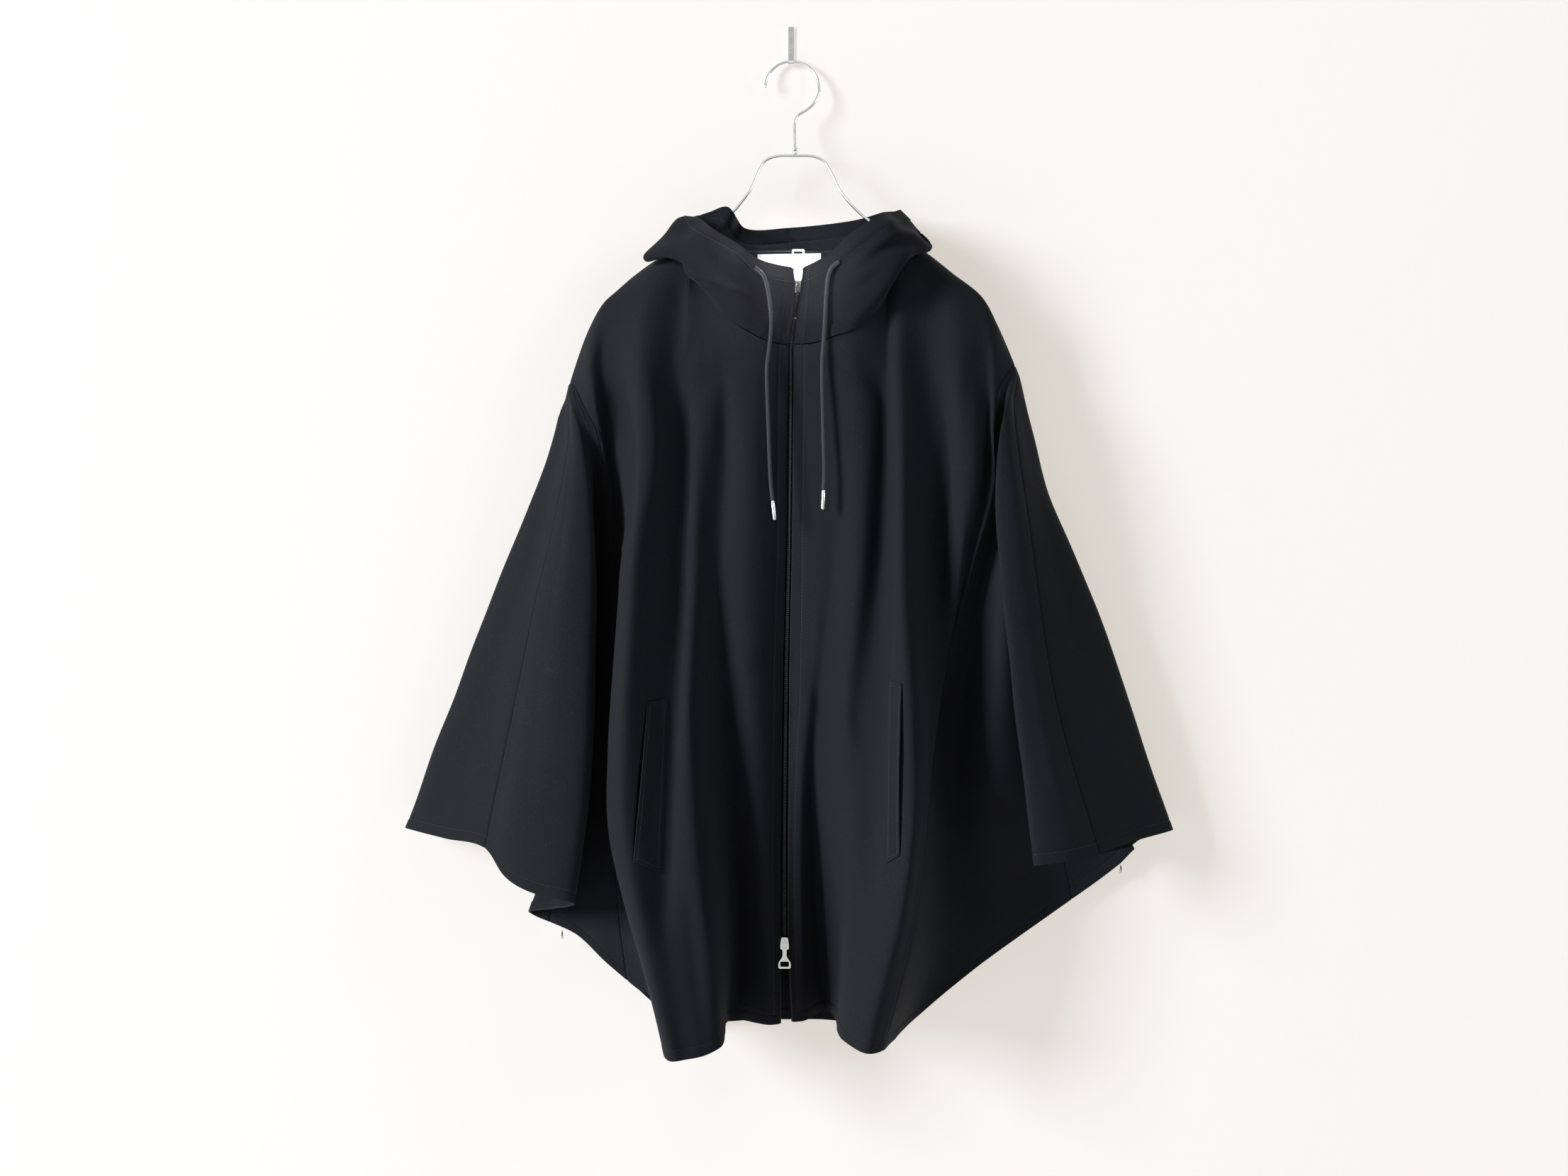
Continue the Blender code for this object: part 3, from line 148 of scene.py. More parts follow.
# %% [markdown]
# ## Shader maths
# Node materials are long-winded to build by hand. This small class wraps one socket, so that
# sums on it read like ordinary maths and each one adds its Math node. `Finish` starts a material
# on a Principled shader, and its `node` method makes any other node from its type, its settings
# and what goes into its sockets. Values that are the same all over stay on the shader's sockets.


# %% Sockets that can be added and multiplied
class Field:
    """One value that varies over a surface."""

    def __init__(self, finish, socket):
        self.finish = finish
        self.socket = socket

    def maths(self, kind, *values):
        return self.finish.node("ShaderNodeMath", {"operation": kind}, dict(enumerate(values)))

    def __add__(self, other):
        return self.maths("ADD", self, other)

    def __sub__(self, other):
        return self.maths("SUBTRACT", self, other)

    def __rsub__(self, other):
        return self.maths("SUBTRACT", other, self)

    def __mul__(self, other):
        return self.maths("MULTIPLY", self, other)

    __radd__ = __add__
    __rmul__ = __mul__

    def sine(self):
        return self.maths("SINE", self)

    def clamped(self, low, high):
        return self.maths("MINIMUM", self.maths("MAXIMUM", self, low), high)

    def part(self, axis):
        """X, Y or Z of a vector."""
        return self.finish.node("ShaderNodeSeparateXYZ", {}, {0: self}, output=axis)


class Finish:
    """A material on one Principled shader."""

    def __init__(self, name, **fixed):
        self.material = bpy.data.materials.new(name)
        self.material.use_nodes = True
        self.tree = self.material.node_tree
        self.shader = self.tree.nodes["Principled BSDF"]
        for socket, value in fixed.items():
            self.shader.inputs[socket.replace("_", " ")].default_value = value

    def node(self, kind, settings, values, output=0):
        made = self.tree.nodes.new(kind)
        for name, value in settings.items():
            setattr(made, name, value)
        for name, value in values.items():
            if isinstance(value, Field):
                self.tree.links.new(value.socket, made.inputs[name])
            else:
                made.inputs[name].default_value = value
        return Field(self, made.outputs[output])

    def object_place(self):
        return self.node("ShaderNodeTexCoord", {}, {}, output="Object")

    def pattern_place(self):
        """The piece's own pattern coordinates, in metres of cloth."""
        return self.node("ShaderNodeUVMap", {"uv_map": "cut"}, {})

    def noise(self, scale, detail=2.0, roughness=0.5):
        return self.node("ShaderNodeTexNoise", {}, {"Vector": self.object_place(), "Scale": scale,
                                                    "Detail": detail, "Roughness": roughness})

    def feed(self, socket, value):
        self.tree.links.new(value.socket, self.shader.inputs[socket])

    def paint(self, factor, dark, light, roughness):
        """A colour that is dark where the factor is 0 and light where it is 1, and a roughness."""
        self.feed("Base Color", self.node("ShaderNodeMix", {"data_type": "RGBA"}, {
            "Factor": factor, 6: (*dark, 1.0), 7: (*light, 1.0)}, output=2))
        self.feed("Roughness", roughness)

    def bump(self, height, depth, strength):
        """A relief this many metres deep."""
        self.feed("Normal", self.node("ShaderNodeBump", {}, {"Height": height, "Distance": depth,
                                                             "Strength": strength}))


# %% [markdown]
# ## The finishes
# The cloth is a matte, slightly blue black. Seen close it is a fine knit: upright ribs 1.1 mm apart
# crossed by small loops, with a little fuzz and here and there a pale fleck. A knit is too small
# to model, so it is a bump that follows the cut of each panel through its own UV map, and the
# sheen of the fuzz is the shader's. The metals are bright plate and polished wire with faint haze.


# %% Cloth
def knit(name, dark, light, rib=0.0011, loop=0.0009, relief=0.00016, sheen=0.03):
    """A double knit whose ribs run down the panel."""
    made = Finish(name, Sheen_Weight=sheen, Sheen_Roughness=0.45, Specular_IOR_Level=0.03)
    cut = made.pattern_place()
    over, down = cut.part(0), cut.part(1)
    ribs = (over * (math.tau / rib)).sine() * 0.5 + 0.5
    loops = (down * (math.tau / loop) + ribs * 2.0).sine() * 0.5 + 0.5
    fuzz = made.noise(1400.0, 3.0, 0.6)
    worn = made.noise(5.0, 3.0, 0.5)
    flecks = made.noise(520.0, 1.0, 0.4)
    mottle = ((worn - 0.35) * 1.2 + (fuzz - 0.5) * 1.8 + (flecks - 0.66) * 6.0).clamped(0.0, 1.6)
    made.paint(mottle, dark, light, (fuzz * 0.12 + worn * 0.1 + 0.68).clamped(0.0, 1.0))
    made.bump(ribs * 0.6 * (loops * 0.5 + 0.5) + fuzz * 0.5, relief, 0.8)
    return made.material


BLACK_KNIT = knit("black double knit", (0.0118, 0.0122, 0.0144), (0.0170, 0.0177, 0.0210))
BLACK_INSIDE = knit("black knit, inner face", (0.0090, 0.0092, 0.0110), (0.0120, 0.0124, 0.0148),
                    rib=0.0016, loop=0.0016)


# %% Tape, teeth, cord and thread
def tape(name, dark, light, rib=0.0008):
    """A narrow woven tape."""
    made = Finish(name, Sheen_Weight=0.08, Specular_IOR_Level=0.3)
    cut = made.pattern_place()
    warp, weft = ((cut.part(axis) * (math.tau / rib)).sine() for axis in (0, 1))
    weave = (warp * weft) * 0.5 + 0.5
    fuzz = made.noise(900.0)
    made.paint((weave * 0.6 + fuzz * 0.4).clamped(0.0, 1.0), dark, light, fuzz * 0.15 + 0.66)
    made.bump(weave, 0.00012, 0.8)
    return made.material


BLACK_TAPE = tape("black zip tape", (0.012, 0.012, 0.014), (0.024, 0.024, 0.027))
LABEL_SATIN = tape("pale label satin", (0.86, 0.85, 0.83), (0.93, 0.92, 0.90), 0.0005)


def braid(name, dark, light, strands=7, pitch=0.0075):
    """A round braid: two sets of strands that cross as they wind round the cord."""
    made = Finish(name, Sheen_Weight=0.15, Specular_IOR_Level=0.3)
    cut = made.pattern_place()
    turn, down = cut.part(0) * (math.tau * strands), cut.part(1) * (math.tau * strands / pitch)
    strand = ((turn + down * 0.35).sine() * (turn - down * 0.35).sine()) * 0.5 + 0.5
    fuzz = made.noise(1200.0)
    made.paint((strand * 0.7 + fuzz * 0.3).clamped(0.0, 1.0), dark, light, fuzz * 0.1 + 0.7)
    made.bump(strand + fuzz * 0.3, 0.0004, 0.9)
    return made.material


BLACK_BRAID = braid("black braided cord", (0.012, 0.012, 0.014), (0.034, 0.034, 0.038))


def plain(name, dark, light, roughness, metallic=0.0, grain=300.0, relief=0.00002, **fixed):
    """A moulded, spun or plated finish with a little variation."""
    made = Finish(name, Metallic=metallic, **fixed)
    spots = made.noise(grain, 3.0)
    broad = made.noise(40.0)
    made.paint(spots, dark, light, (spots * 0.08 + broad * 0.12 + (roughness - 0.1)).clamped(0.02, 1.0))
    made.bump(spots, relief, 0.5)
    return made.material


# Painted shade: a near-black finish for the strip that stands for the shade inside a pocket's gaping mouth.
POCKET_PAINTED_SHADE = plain("painted shade inside a pocket", (0.0012, 0.0012, 0.0014), (0.0025, 0.0025, 0.003), 0.8,
                     Specular_IOR_Level=0.02)
BLACK_THREAD = plain("black sewing thread", (0.016, 0.016, 0.018), (0.03, 0.03, 0.033), 0.6, grain=2000.0)
BLACK_TEETH = plain("black moulded teeth", (0.010, 0.010, 0.012), (0.026, 0.026, 0.029), 0.5)
NICKEL = plain("bright nickel plate", (0.84, 0.83, 0.80), (0.93, 0.92, 0.90), 0.24, 1.0)
CHROME = plain("polished chrome wire", (0.66, 0.67, 0.69), (0.82, 0.83, 0.85), 0.14, 1.0, grain=120.0)
STEEL = plain("satin steel strip", (0.82, 0.82, 0.80), (0.93, 0.93, 0.91), 0.26, 1.0, grain=200.0)
print("finishes:", ", ".join(sorted(m.name for m in bpy.data.materials if m.use_nodes)))

# %% [markdown]
# ## From points to a piece
# Most meshes here become a piece in the same way. The closed surface is turned outwards, its place
# in the cut is kept as a UV map for the knit or the braid to follow, and the piece rides on the
# garment. Where it stands for a part of the solid model, that part is hidden.


# %% Pieces
def on_garment(name, data, node):
    """Puts a mesh in the scene as a piece of the garment, which may stand for a solid's node."""
    piece = bpy.data.objects.new(name, data)
    bpy.context.scene.collection.objects.link(piece)
    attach(piece, GARMENT)
    if node:
        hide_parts(node)
    return piece


def closed_piece(name, points, faces, cut, sharp, finishes, node, inner=()):
    """A closed mesh with its cut as a UV map. The last finish is for the inner faces."""
    data = bpy.data.meshes.new(name)
    data.from_pydata((points * MM).tolist(), [], faces)
    data.uv_layers.new(name="cut").data.foreach_set("uv", np.array(cut, float).ravel())
    for finish in finishes:
        data.materials.append(finish)
    for face in inner:
        data.polygons[face].material_index = len(finishes) - 1
    shape = bmesh.new()
    shape.from_mesh(data)
    bmesh.ops.recalc_face_normals(shape, faces=shape.faces)
    if shape.calc_volume(signed=True) < 0:
        bmesh.ops.reverse_faces(shape, faces=shape.faces)
    shape.to_mesh(data)
    shape.free()
    data.shade_smooth()
    data.set_sharp_from_angle(angle=math.radians(sharp))
    return on_garment(name, data, node)


# %% [markdown]
# ## The drawcords
# A round braided cord comes out of an eyelet at each side of the hood and hangs straight down in
# front of the zip, with a metal end clamped on. The photograph shows each one from its eyelet to
# its end, so that is its length. The cord is a tube swept along its route, which gives it a UV map
# that the braid can follow; a curve with a bevel would give no such map.

# %% Tubes
QUAD = ((0, 0), (1, 0), (1, 1), (0, 1))
ANY_WAY = (0.31, 0.17, 0.93)  # along no wire or cord, so that a first way across can be found


def tube(name, path, widths, finish, node, sides=12, closed=False):
    """A round tube along millimetre points, with its turn and its length as a UV map."""
    path = np.array(path, float)
    count = len(path)
    widths = np.broadcast_to(np.array(widths, float), (count,))
    run = unit(np.roll(path, -1, 0) - np.roll(path, 1, 0) if closed else np.gradient(path, axis=0))
    side = unit(np.cross(run[0], ANY_WAY))
    points = np.zeros((count, sides, 3))
    turns = np.arange(sides) / sides * math.tau
    for number in range(count):
        side = unit(side - run[number] * (side @ run[number]))
        other = np.cross(run[number], side)
        ring = np.outer(np.cos(turns), side) + np.outer(np.sin(turns), other)
        points[number] = path[number] + ring * widths[number] / 2
    faces, cut = [], []
    walked = np.append(walk(path), walk(path)[-1] + np.linalg.norm(path[0] - path[-1])) * MM
    shift = 0
    if closed:
        shift = int(np.argmin(np.linalg.norm(points[0] - points[-1][0] + path[-1] - path[0], axis=1)))
    for number in range(count if closed else count - 1):
        after = (number + 1) % count
        moved = shift if closed and after == 0 else 0
        for step in range(sides):
            step_on = (step + 1) % sides
            faces.append((number * sides + step, number * sides + step_on,
                          after * sides + (step_on + moved) % sides, after * sides + (step + moved) % sides))
            cut += [((step + right) / sides, walked[number + on]) for right, on in QUAD]
    if not closed:
        for ring in (range(sides - 1, -1, -1), range((count - 1) * sides, count * sides)):
            faces.append(tuple(ring))
            cut += [(0.0, 0.0)] * sides
    return closed_piece(name, points.reshape(-1, 3), faces, cut, 50, (finish,), node)


# %% Cords and their metal ends
CORD = 4.2  # millimetres across
AGLET = 4.6
AGLET_LENGTH = 20.0
AGLET_START = 0.4  # past the cord's end
AGLET_SHAPE = ((0.0, 0.8), (0.5, 0.95), (1.2, 1.0), (1.8, 1.0), (2.2, 0.93), (2.8, 0.93), (3.2, 1.0),
               (16.0, 0.97), (19.0, 0.95), (19.7, 0.88), (AGLET_LENGTH, 0.72))
CORD_ROUTES = {
    "left": ((-38.8, 244.6, 113.5), (-30.5, 252, 113.5), (-26, 264, 112), (-23, 282, 109.5),
             (-21.5, 300, 107.5), (-22.3, 318, 106), (-24.5, 337, 105), (-26, 351, 104.5), (-24.5, 410, 104),
             (-22, 472, 103.5), (-20, 491.2, 103.5)),
    "right": ((50.5, 238.6, 114.5), (43.4, 244, 113.5), (39.3, 253, 112.5), (37, 273, 110),
              (35.5, 300, 107.5), (34, 323, 105.5), (32.5, 346, 104.5), (33.5, 410, 104),
              (34.8, 462, 103.5), (34, 480, 103.5)),
}
for side, route in CORD_ROUTES.items():
    fine = smooth([place(*spot) for spot in route], 12)
    path = at_lengths(fine, np.linspace(0, walk(fine)[-1], 90))
    run = unit(fine[-1] - fine[-2])
    start = path[-1] + run * AGLET_START
    aglet = tube(f"aglet_{side}_polished", [start + run * far for far, _ in AGLET_SHAPE],
                 [AGLET * wide for _, wide in AGLET_SHAPE], NICKEL, f"aglet_{side}", 20)
    cord = tube(f"drawcord_{side}_braid", path, CORD, BLACK_BRAID, f"drawcord_{side}")
    print("drawcord", side, round(walk(path)[-1]), "mm")

# %% [markdown]
# ## The guide lines
# Each guide is one ridge, valley, seam or fold of the cloth, from top to hem. Its points are the
# ones that the solid model was drawn with: across from the wall hook, down from it, and out from
# the wall, in millimetres of the front view.

# %% Guide lines of the body, the sleeves and the hood
# Each row is one guide line: its name, then (across, drop, forward) from top to hem.
RIGHT_FRONT = (
    ("edge", (2, 327, 92), (2, 397, 84), (1, 532, 76), (-1, 682, 68), (-2, 822, 64), (-2, 953, 62),
     (2, 1043, 62)),
    ("near ridge", (25, 325, 97), (31, 397, 91), (32, 532, 85), (22, 659, 77), (11, 772, 71), (9, 899, 67),
     (12, 1042, 65)),
    ("inner valley", (43, 319, 101), (48, 397, 95), (48, 532, 88), (34, 659, 77), (23, 779, 62),
     (26, 866, 50), (29, 967, 36), (37, 1030, 28)),
    ("face", (62, 311, 104), (68, 382, 101), (67, 487, 99), (61, 607, 95), (53, 723, 89), (53, 866, 78),
     (52, 967, 68), (47, 1040, 64)),
    ("upper valley", (92, 284, 94), (95, 337, 92), (95, 428, 91), (91, 562, 95), (79, 723, 101),
     (74, 866, 108), (63, 967, 120), (53, 1060, 128)),
    ("crest", (109, 210, 50), (110, 213, 63), (113, 230, 80), (114, 299, 98), (115, 428, 113),
     (116, 562, 128), (126, 724, 145), (128, 824, 152), (114, 929, 156), (93, 1012, 156), (78, 1076, 155)),
    ("shoulder valley", (138, 227, 54), (139, 230, 65), (141, 247, 79), (145, 314, 88), (147, 428, 86),
     (151, 562, 82), (150, 659, 90), (144, 757, 110), (138, 847, 125), (126, 937, 137), (109, 1012, 142),
     (90, 1075, 146)),
    ("side ridge", (169, 251, 58), (171, 254, 69), (174, 269, 83), (178, 352, 96), (180, 457, 99),
     (180, 532, 95), (172, 607, 86), (161, 674, 78), (150, 757, 92), (141, 847, 113), (130, 937, 128),
     (110, 1019, 137), (93, 1074, 143)),
    ("arm valley", (202, 279, 64), (204, 281, 72), (206, 296, 79), (207, 352, 82), (207, 412, 81),
     (206, 479, 82), (187, 551, 82), (168, 633, 77), (153, 697, 68), (145, 772, 82), (138, 854, 108),
     (128, 936, 125), (108, 1020, 134), (95, 1073, 141)),
)
LEFT_FRONT = (
    ("edge", (-3, 327, 92), (-4, 397, 84), (-6, 532, 76), (-10, 682, 68), (-12.5, 822, 64), (-12.7, 953, 62),
     (-12.7, 1045, 62)),
    ("near ridge", (-23, 324, 99), (-35, 382, 97), (-44, 487, 97), (-46, 607, 94), (-41, 723, 88),
     (-32, 866, 78), (-26, 974, 72), (-24, 1046, 67)),
    ("inner valley", (-46, 313, 103), (-65, 382, 96), (-78, 472, 91), (-81, 592, 86), (-78, 723, 75),
     (-65, 866, 58), (-58, 974, 46), (-64, 1040, 40)),
    ("face", (-72, 294, 98), (-89, 367, 96), (-100, 457, 100), (-103, 584, 107), (-107, 724, 122),
     (-98, 866, 135), (-85, 974, 141), (-76, 1070, 140)),
    ("neck fold", (-94, 260, 84), (-106, 292, 92), (-112, 367, 94), (-116, 457, 97), (-121, 584, 106),
     (-126, 724, 124), (-121, 866, 139), (-108, 971, 147), (-93, 1079, 152)),
    ("upper valley", (-106, 215, 50), (-108, 218, 62), (-112, 233, 78), (-121, 284, 86), (-129, 367, 90),
     (-132, 457, 93), (-137, 584, 104), (-146, 724, 124), (-145, 866, 140), (-131, 967, 151),
     (-112, 1083, 158)),
    ("crest", (-142, 237, 53), (-143, 240, 65), (-147, 255, 81), (-154, 292, 94), (-159, 367, 106),
     (-162, 457, 116), (-169, 584, 130), (-178, 724, 143), (-177, 847, 151), (-156, 959, 158),
     (-126, 1085, 163)),
    ("flute edge", (-168, 256, 56), (-168, 259, 66), (-170, 272, 79), (-173, 307, 89), (-175, 382, 96),
     (-177, 472, 103), (-180, 562, 109), (-189, 674, 116), (-193, 762, 121), (-192, 847, 127),
     (-174, 929, 134), (-156, 989, 140), (-134, 1079, 144)),
    ("flute flank", (-184, 270, 60), (-185, 272, 68), (-187, 284, 77), (-189, 322, 81), (-188, 382, 80),
     (-184, 472, 78), (-179, 562, 76), (-181, 674, 75), (-183, 762, 77), (-179, 847, 84), (-161, 929, 94),
     (-145, 989, 100), (-131, 1068, 104)),
    ("arm valley", (-199, 284, 64), (-200, 287, 71), (-201, 301, 76), (-200, 337, 77), (-197, 397, 77),
     (-186, 472, 68), (-181, 562, 60), (-182, 674, 54), (-182, 762, 52), (-180, 847, 50), (-168, 929, 48),
     (-148, 1016, 46)),
    ("shoulder ridge", (-216, 316, 57), (-215, 320, 66), (-214, 333, 77), (-210, 367, 84), (-202, 419, 83),
     (-190, 479, 69), (-185, 562, 54), (-185, 674, 46), (-185, 762, 43), (-184, 847, 41), (-176, 929, 40),
     (-161, 1009, 40)),
)
# These start at the top of the armhole, where fanned() sets them close together.
RIGHT_FAN_TOP = (236, 350, 53)
RIGHT_SLEEVE = (
    ("side seam", (230, 354, 64), (219, 374, 82), (214, 419, 88), (215, 476, 86), (195, 553, 84),
     (174, 638, 75), (157, 701, 66), (147, 772, 78), (140, 854, 104), (130, 936, 122), (110, 1021, 131),
     (96, 1073, 138)),
    ("side valley", (231, 356, 65), (221, 378, 82), (217, 423, 79), (221, 479, 72), (205, 562, 68),
     (187, 641, 58), (171, 712, 52), (164, 787, 50), (166, 862, 46), (160, 952, 42), (130, 1039, 40)),
    ("side face", (232, 357, 65), (223, 382, 81), (222, 425, 73), (228, 483, 61), (226, 566, 54),
     (222, 644, 46), (216, 719, 42), (214, 794, 38), (216, 884, 34), (201, 981, 31)),
    ("side back fold", (233, 358, 65), (227, 384, 80), (230, 427, 70), (239, 487, 54), (256, 569, 42),
     (280, 648, 34), (302, 727, 30), (329, 794, 27), (362, 861, 25)),
    ("sleeve under", (234, 359, 65), (229, 386, 84), (230, 427, 87), (236, 487, 79), (247, 569, 70),
     (264, 648, 66), (280, 727, 64), (301, 794, 62), (321, 866, 60)),
    ("sleeve fold", (235, 360, 65), (228, 387, 90), (220, 427, 101), (217, 487, 107), (222, 569, 114),
     (230, 648, 122), (238, 723, 129), (247, 791, 134), (257, 878, 140)),
    ("sleeve face", (236.5, 360, 64), (231, 388, 87), (229, 429, 99), (234, 487, 106), (240, 569, 114),
     (249, 648, 121), (260, 719, 127), (276, 791, 131), (293, 873, 133)),
    ("overarm seam", (238, 362, 61), (235, 389, 76), (239, 431, 86), (246, 483, 91), (256, 554, 97),
     (268, 638, 103), (282, 712, 106), (301, 785, 107), (325, 865, 105)),
    ("sleeve outer", (240, 362, 57), (242, 393, 64), (248, 434, 70), (260, 491, 72), (278, 562, 74),
     (300, 641, 75), (324, 716, 75), (344, 776, 73), (365, 851, 70)),
    ("outer edge", (241, 363, 50), (249, 399, 49), (257, 430, 48), (272, 487, 47), (300, 554, 45),
     (334, 638, 43), (360, 716, 41), (386, 792, 38), (403, 840, 35)),
    ("sleeve behind", (240, 362, 44), (242, 404, 38), (252, 457, 34), (270, 532, 29), (302, 622, 24),
     (336, 712, 20), (379, 844, 15)),
    ("sleeve back", (235, 362, 40), (231, 412, 33), (235, 479, 27), (250, 562, 22), (272, 644, 18),
     (302, 742, 15), (344, 868, 12)),
    ("back seam", (229, 356, 43), (216, 397, 36), (210, 479, 30), (210, 584, 23), (216, 697, 17),
     (226, 824, 13), (236, 951, 11)),
)
LEFT_FAN_TOP = (-234, 368, 53)
LEFT_SLEEVE = (
    ("side seam", (-229, 371, 63), (-218, 395, 80), (-207, 415, 84), (-198, 464, 71), (-191, 539, 57),
     (-188, 637, 46), (-188, 749, 40), (-187, 862, 38), (-182, 937, 37), (-174, 999, 36)),
    ("side valley", (-230, 373, 64), (-220, 397, 81), (-211, 416, 84), (-203, 466, 67), (-198, 541, 51),
     (-198, 637, 40), (-202, 749, 34), (-204, 862, 33), (-200, 929, 33), (-196, 980, 33)),
    ("side face", (-231, 374, 64), (-222, 398, 82), (-214, 418, 84), (-206, 467, 64), (-204, 544, 46),
     (-211, 641, 34), (-221, 753, 29), (-228, 854, 28), (-232, 914, 28), (-228, 950, 28)),
    ("side back fold", (-232, 375, 65), (-226, 400, 83), (-218, 419, 85), (-210, 469, 67), (-211, 547, 49),
     (-224, 643, 36), (-240, 757, 31), (-257, 854, 29), (-270, 908, 30), (-276, 928, 31)),
    ("sleeve under", (-233, 376, 65), (-228, 401, 84), (-221, 421, 88), (-214, 470, 81), (-212, 547, 71),
     (-214, 641, 62), (-222, 755, 60), (-233, 847, 62), (-245, 903, 66), (-255, 923, 70)),
    ("sleeve fold", (-234, 377, 65), (-230, 402, 85), (-224, 422, 91), (-216, 469, 96), (-210, 544, 101),
     (-210, 638, 110), (-214, 751, 121), (-222, 839, 128), (-229, 892, 131), (-233, 917, 133)),
    ("sleeve face", (-235, 377, 64), (-232, 403, 82), (-229, 423, 90), (-228, 469, 97), (-234, 544, 106),
     (-243, 637, 117), (-252, 749, 127), (-266, 832, 131), (-275, 884, 132), (-278, 905, 132)),
    ("sleeve step", (-236, 378, 62), (-233, 403, 77), (-232, 422, 84), (-236, 467, 91), (-246, 542, 99),
     (-262, 634, 108), (-279, 746, 117), (-296, 824, 121), (-302, 871, 121), (-302, 890, 121)),
    ("overarm seam", (-236.5, 378, 60), (-235, 403, 72), (-235, 422, 78), (-240, 461, 84), (-255, 536, 88),
     (-277, 631, 93), (-299, 734, 98), (-313, 802, 100), (-320, 836, 100), (-324, 859, 100)),
    ("sleeve outer", (-237, 379, 56), (-239, 403, 61), (-241, 421, 64), (-250, 460, 66), (-270, 533, 68),
     (-299, 626, 70), (-326, 719, 71), (-345, 779, 71), (-360, 824, 70), (-366, 849, 69)),
    ("outer edge", (-238, 383, 50), (-244, 398, 50), (-250, 421, 49), (-263, 462, 48), (-293, 538, 46),
     (-326, 619, 44), (-359, 707, 42), (-385, 775, 40), (-402, 823, 37), (-408, 838, 35)),
    ("sleeve behind", (-237, 380, 44), (-239, 403, 40), (-245, 434, 36), (-260, 479, 32), (-286, 554, 27),
     (-316, 629, 23), (-346, 712, 19), (-388, 842, 15)),
    ("sleeve back", (-232, 379, 41), (-226, 412, 34), (-230, 479, 28), (-241, 554, 23), (-258, 629, 19),
     (-279, 712, 16), (-309, 802, 14), (-320, 859, 12)),
    ("back seam", (-226, 374, 43), (-210, 412, 36), (-206, 479, 30), (-208, 584, 23), (-214, 697, 17),
     (-221, 809, 13), (-228, 946, 11)),
)
RIGHT_BACK = (
    ("back outer fold", (202, 279, 63), (200, 283, 54), (193, 307, 45), (184, 412, 36), (174, 532, 30),
     (171, 674, 24), (175, 824, 18), (176, 991, 14)),
    ("back fold", (154, 239, 55), (152, 243, 47), (146, 277, 42), (136, 382, 38), (127, 532, 30),
     (122, 674, 20), (118, 824, 12), (114, 1039, 9)),
    ("back neck side", (109, 210, 49), (108, 214, 42), (100, 262, 40), (91, 367, 39), (82, 532, 34),
     (74, 674, 28), (66, 824, 24), (60, 1042, 22)),
    ("back quarter", (55, 227, 49), (54, 243, 44), (50, 292, 40), (46, 382, 38), (42, 532, 27), (38, 674, 18),
     (36, 824, 11), (32, 1040, 8)),
)
BACK_CENTRE = (
    ("back centre", (0, 228, 49), (0, 243, 44), (0, 292, 40), (0, 382, 38), (-1, 532, 30), (-2, 674, 22),
     (-4, 824, 17), (-4, 1040, 15)),
)
LEFT_BACK = (
    ("back outer fold", (-199, 284, 63), (-198, 288, 53), (-191, 314, 43), (-184, 412, 36), (-174, 532, 30),
     (-172, 674, 24), (-174, 824, 18), (-178, 994, 14)),
    ("back fold", (-154, 245, 54), (-152, 249, 46), (-146, 281, 41), (-136, 382, 38), (-126, 532, 30),
     (-122, 674, 20), (-119, 824, 12), (-116, 1042, 9)),
    ("back neck side", (-106, 215, 49), (-105, 218, 42), (-99, 262, 40), (-90, 367, 39), (-82, 532, 34),
     (-76, 674, 28), (-68, 824, 24), (-62, 1042, 22)),
    ("back quarter", (-54, 227, 49), (-53, 243, 44), (-50, 292, 40), (-46, 382, 38), (-42, 532, 27),
     (-40, 674, 18), (-38, 824, 11), (-36, 1040, 8)),
)
# The hood's guides run from the neck seam to the rim of the face opening.
RIGHT_HOOD = (
    ("edge", (2, 326, 92), (6, 292, 97), (11, 259, 99), (13, 245, 98)),
    ("near ridge", (25, 323.7, 97.2), (25, 292, 101), (25, 262, 103), (26, 239, 100)),
    ("inner valley", (43, 317.6, 101.2), (46, 286, 106), (44, 256, 109), (42, 229, 104)),
    ("face", (63, 308, 106), (74, 280, 116), (74, 247, 122), (68, 223, 118), (63, 209, 111)),
    ("upper valley", (95, 281, 98), (104, 266, 116), (114, 241, 124), (109, 218, 112), (103, 203, 116),
     (92, 191, 104)),
    ("neck front", (101, 248, 76), (113, 235, 95), (130, 232, 102), (131, 220, 92), (121, 207, 88),
     (116, 200, 86), (104, 188, 79)),
    ("neck side", (109.5, 206, 52), (124, 211, 63), (143, 227, 76), (148, 222, 68), (136, 212, 60),
     (128, 200, 58), (114, 185, 52)),
    ("over shoulder", (110.5, 207.3, 50), (120, 209, 52), (132, 217, 56), (138, 218, 58), (134, 208, 54),
     (124, 197, 47), (106, 187, 38)),
    ("behind shoulder", (110.5, 207, 48.5), (121, 214, 42), (129, 226, 35), (133, 240, 31), (131, 246, 24),
     (126, 232, 20), (119, 208, 22), (99, 187, 22)),
    ("back neck side", (110, 206.5, 46), (117, 217, 34), (122, 277, 22), (116, 314, 14), (114, 277, 6),
     (109, 221, 6), (92, 188, 12)),
    ("back quarter", (55, 223, 48), (56, 238, 35), (60, 299, 28), (60, 352, 18), (61, 299, 6), (64, 236, 5),
     (67, 195, 7)),
)
HOOD_CENTRE = (
    ("back centre", (0, 225, 48), (0, 242, 36), (0, 314, 28), (0, 376, 17), (0, 314, 5), (0, 239, 4),
     (-3, 203, 6)),
)
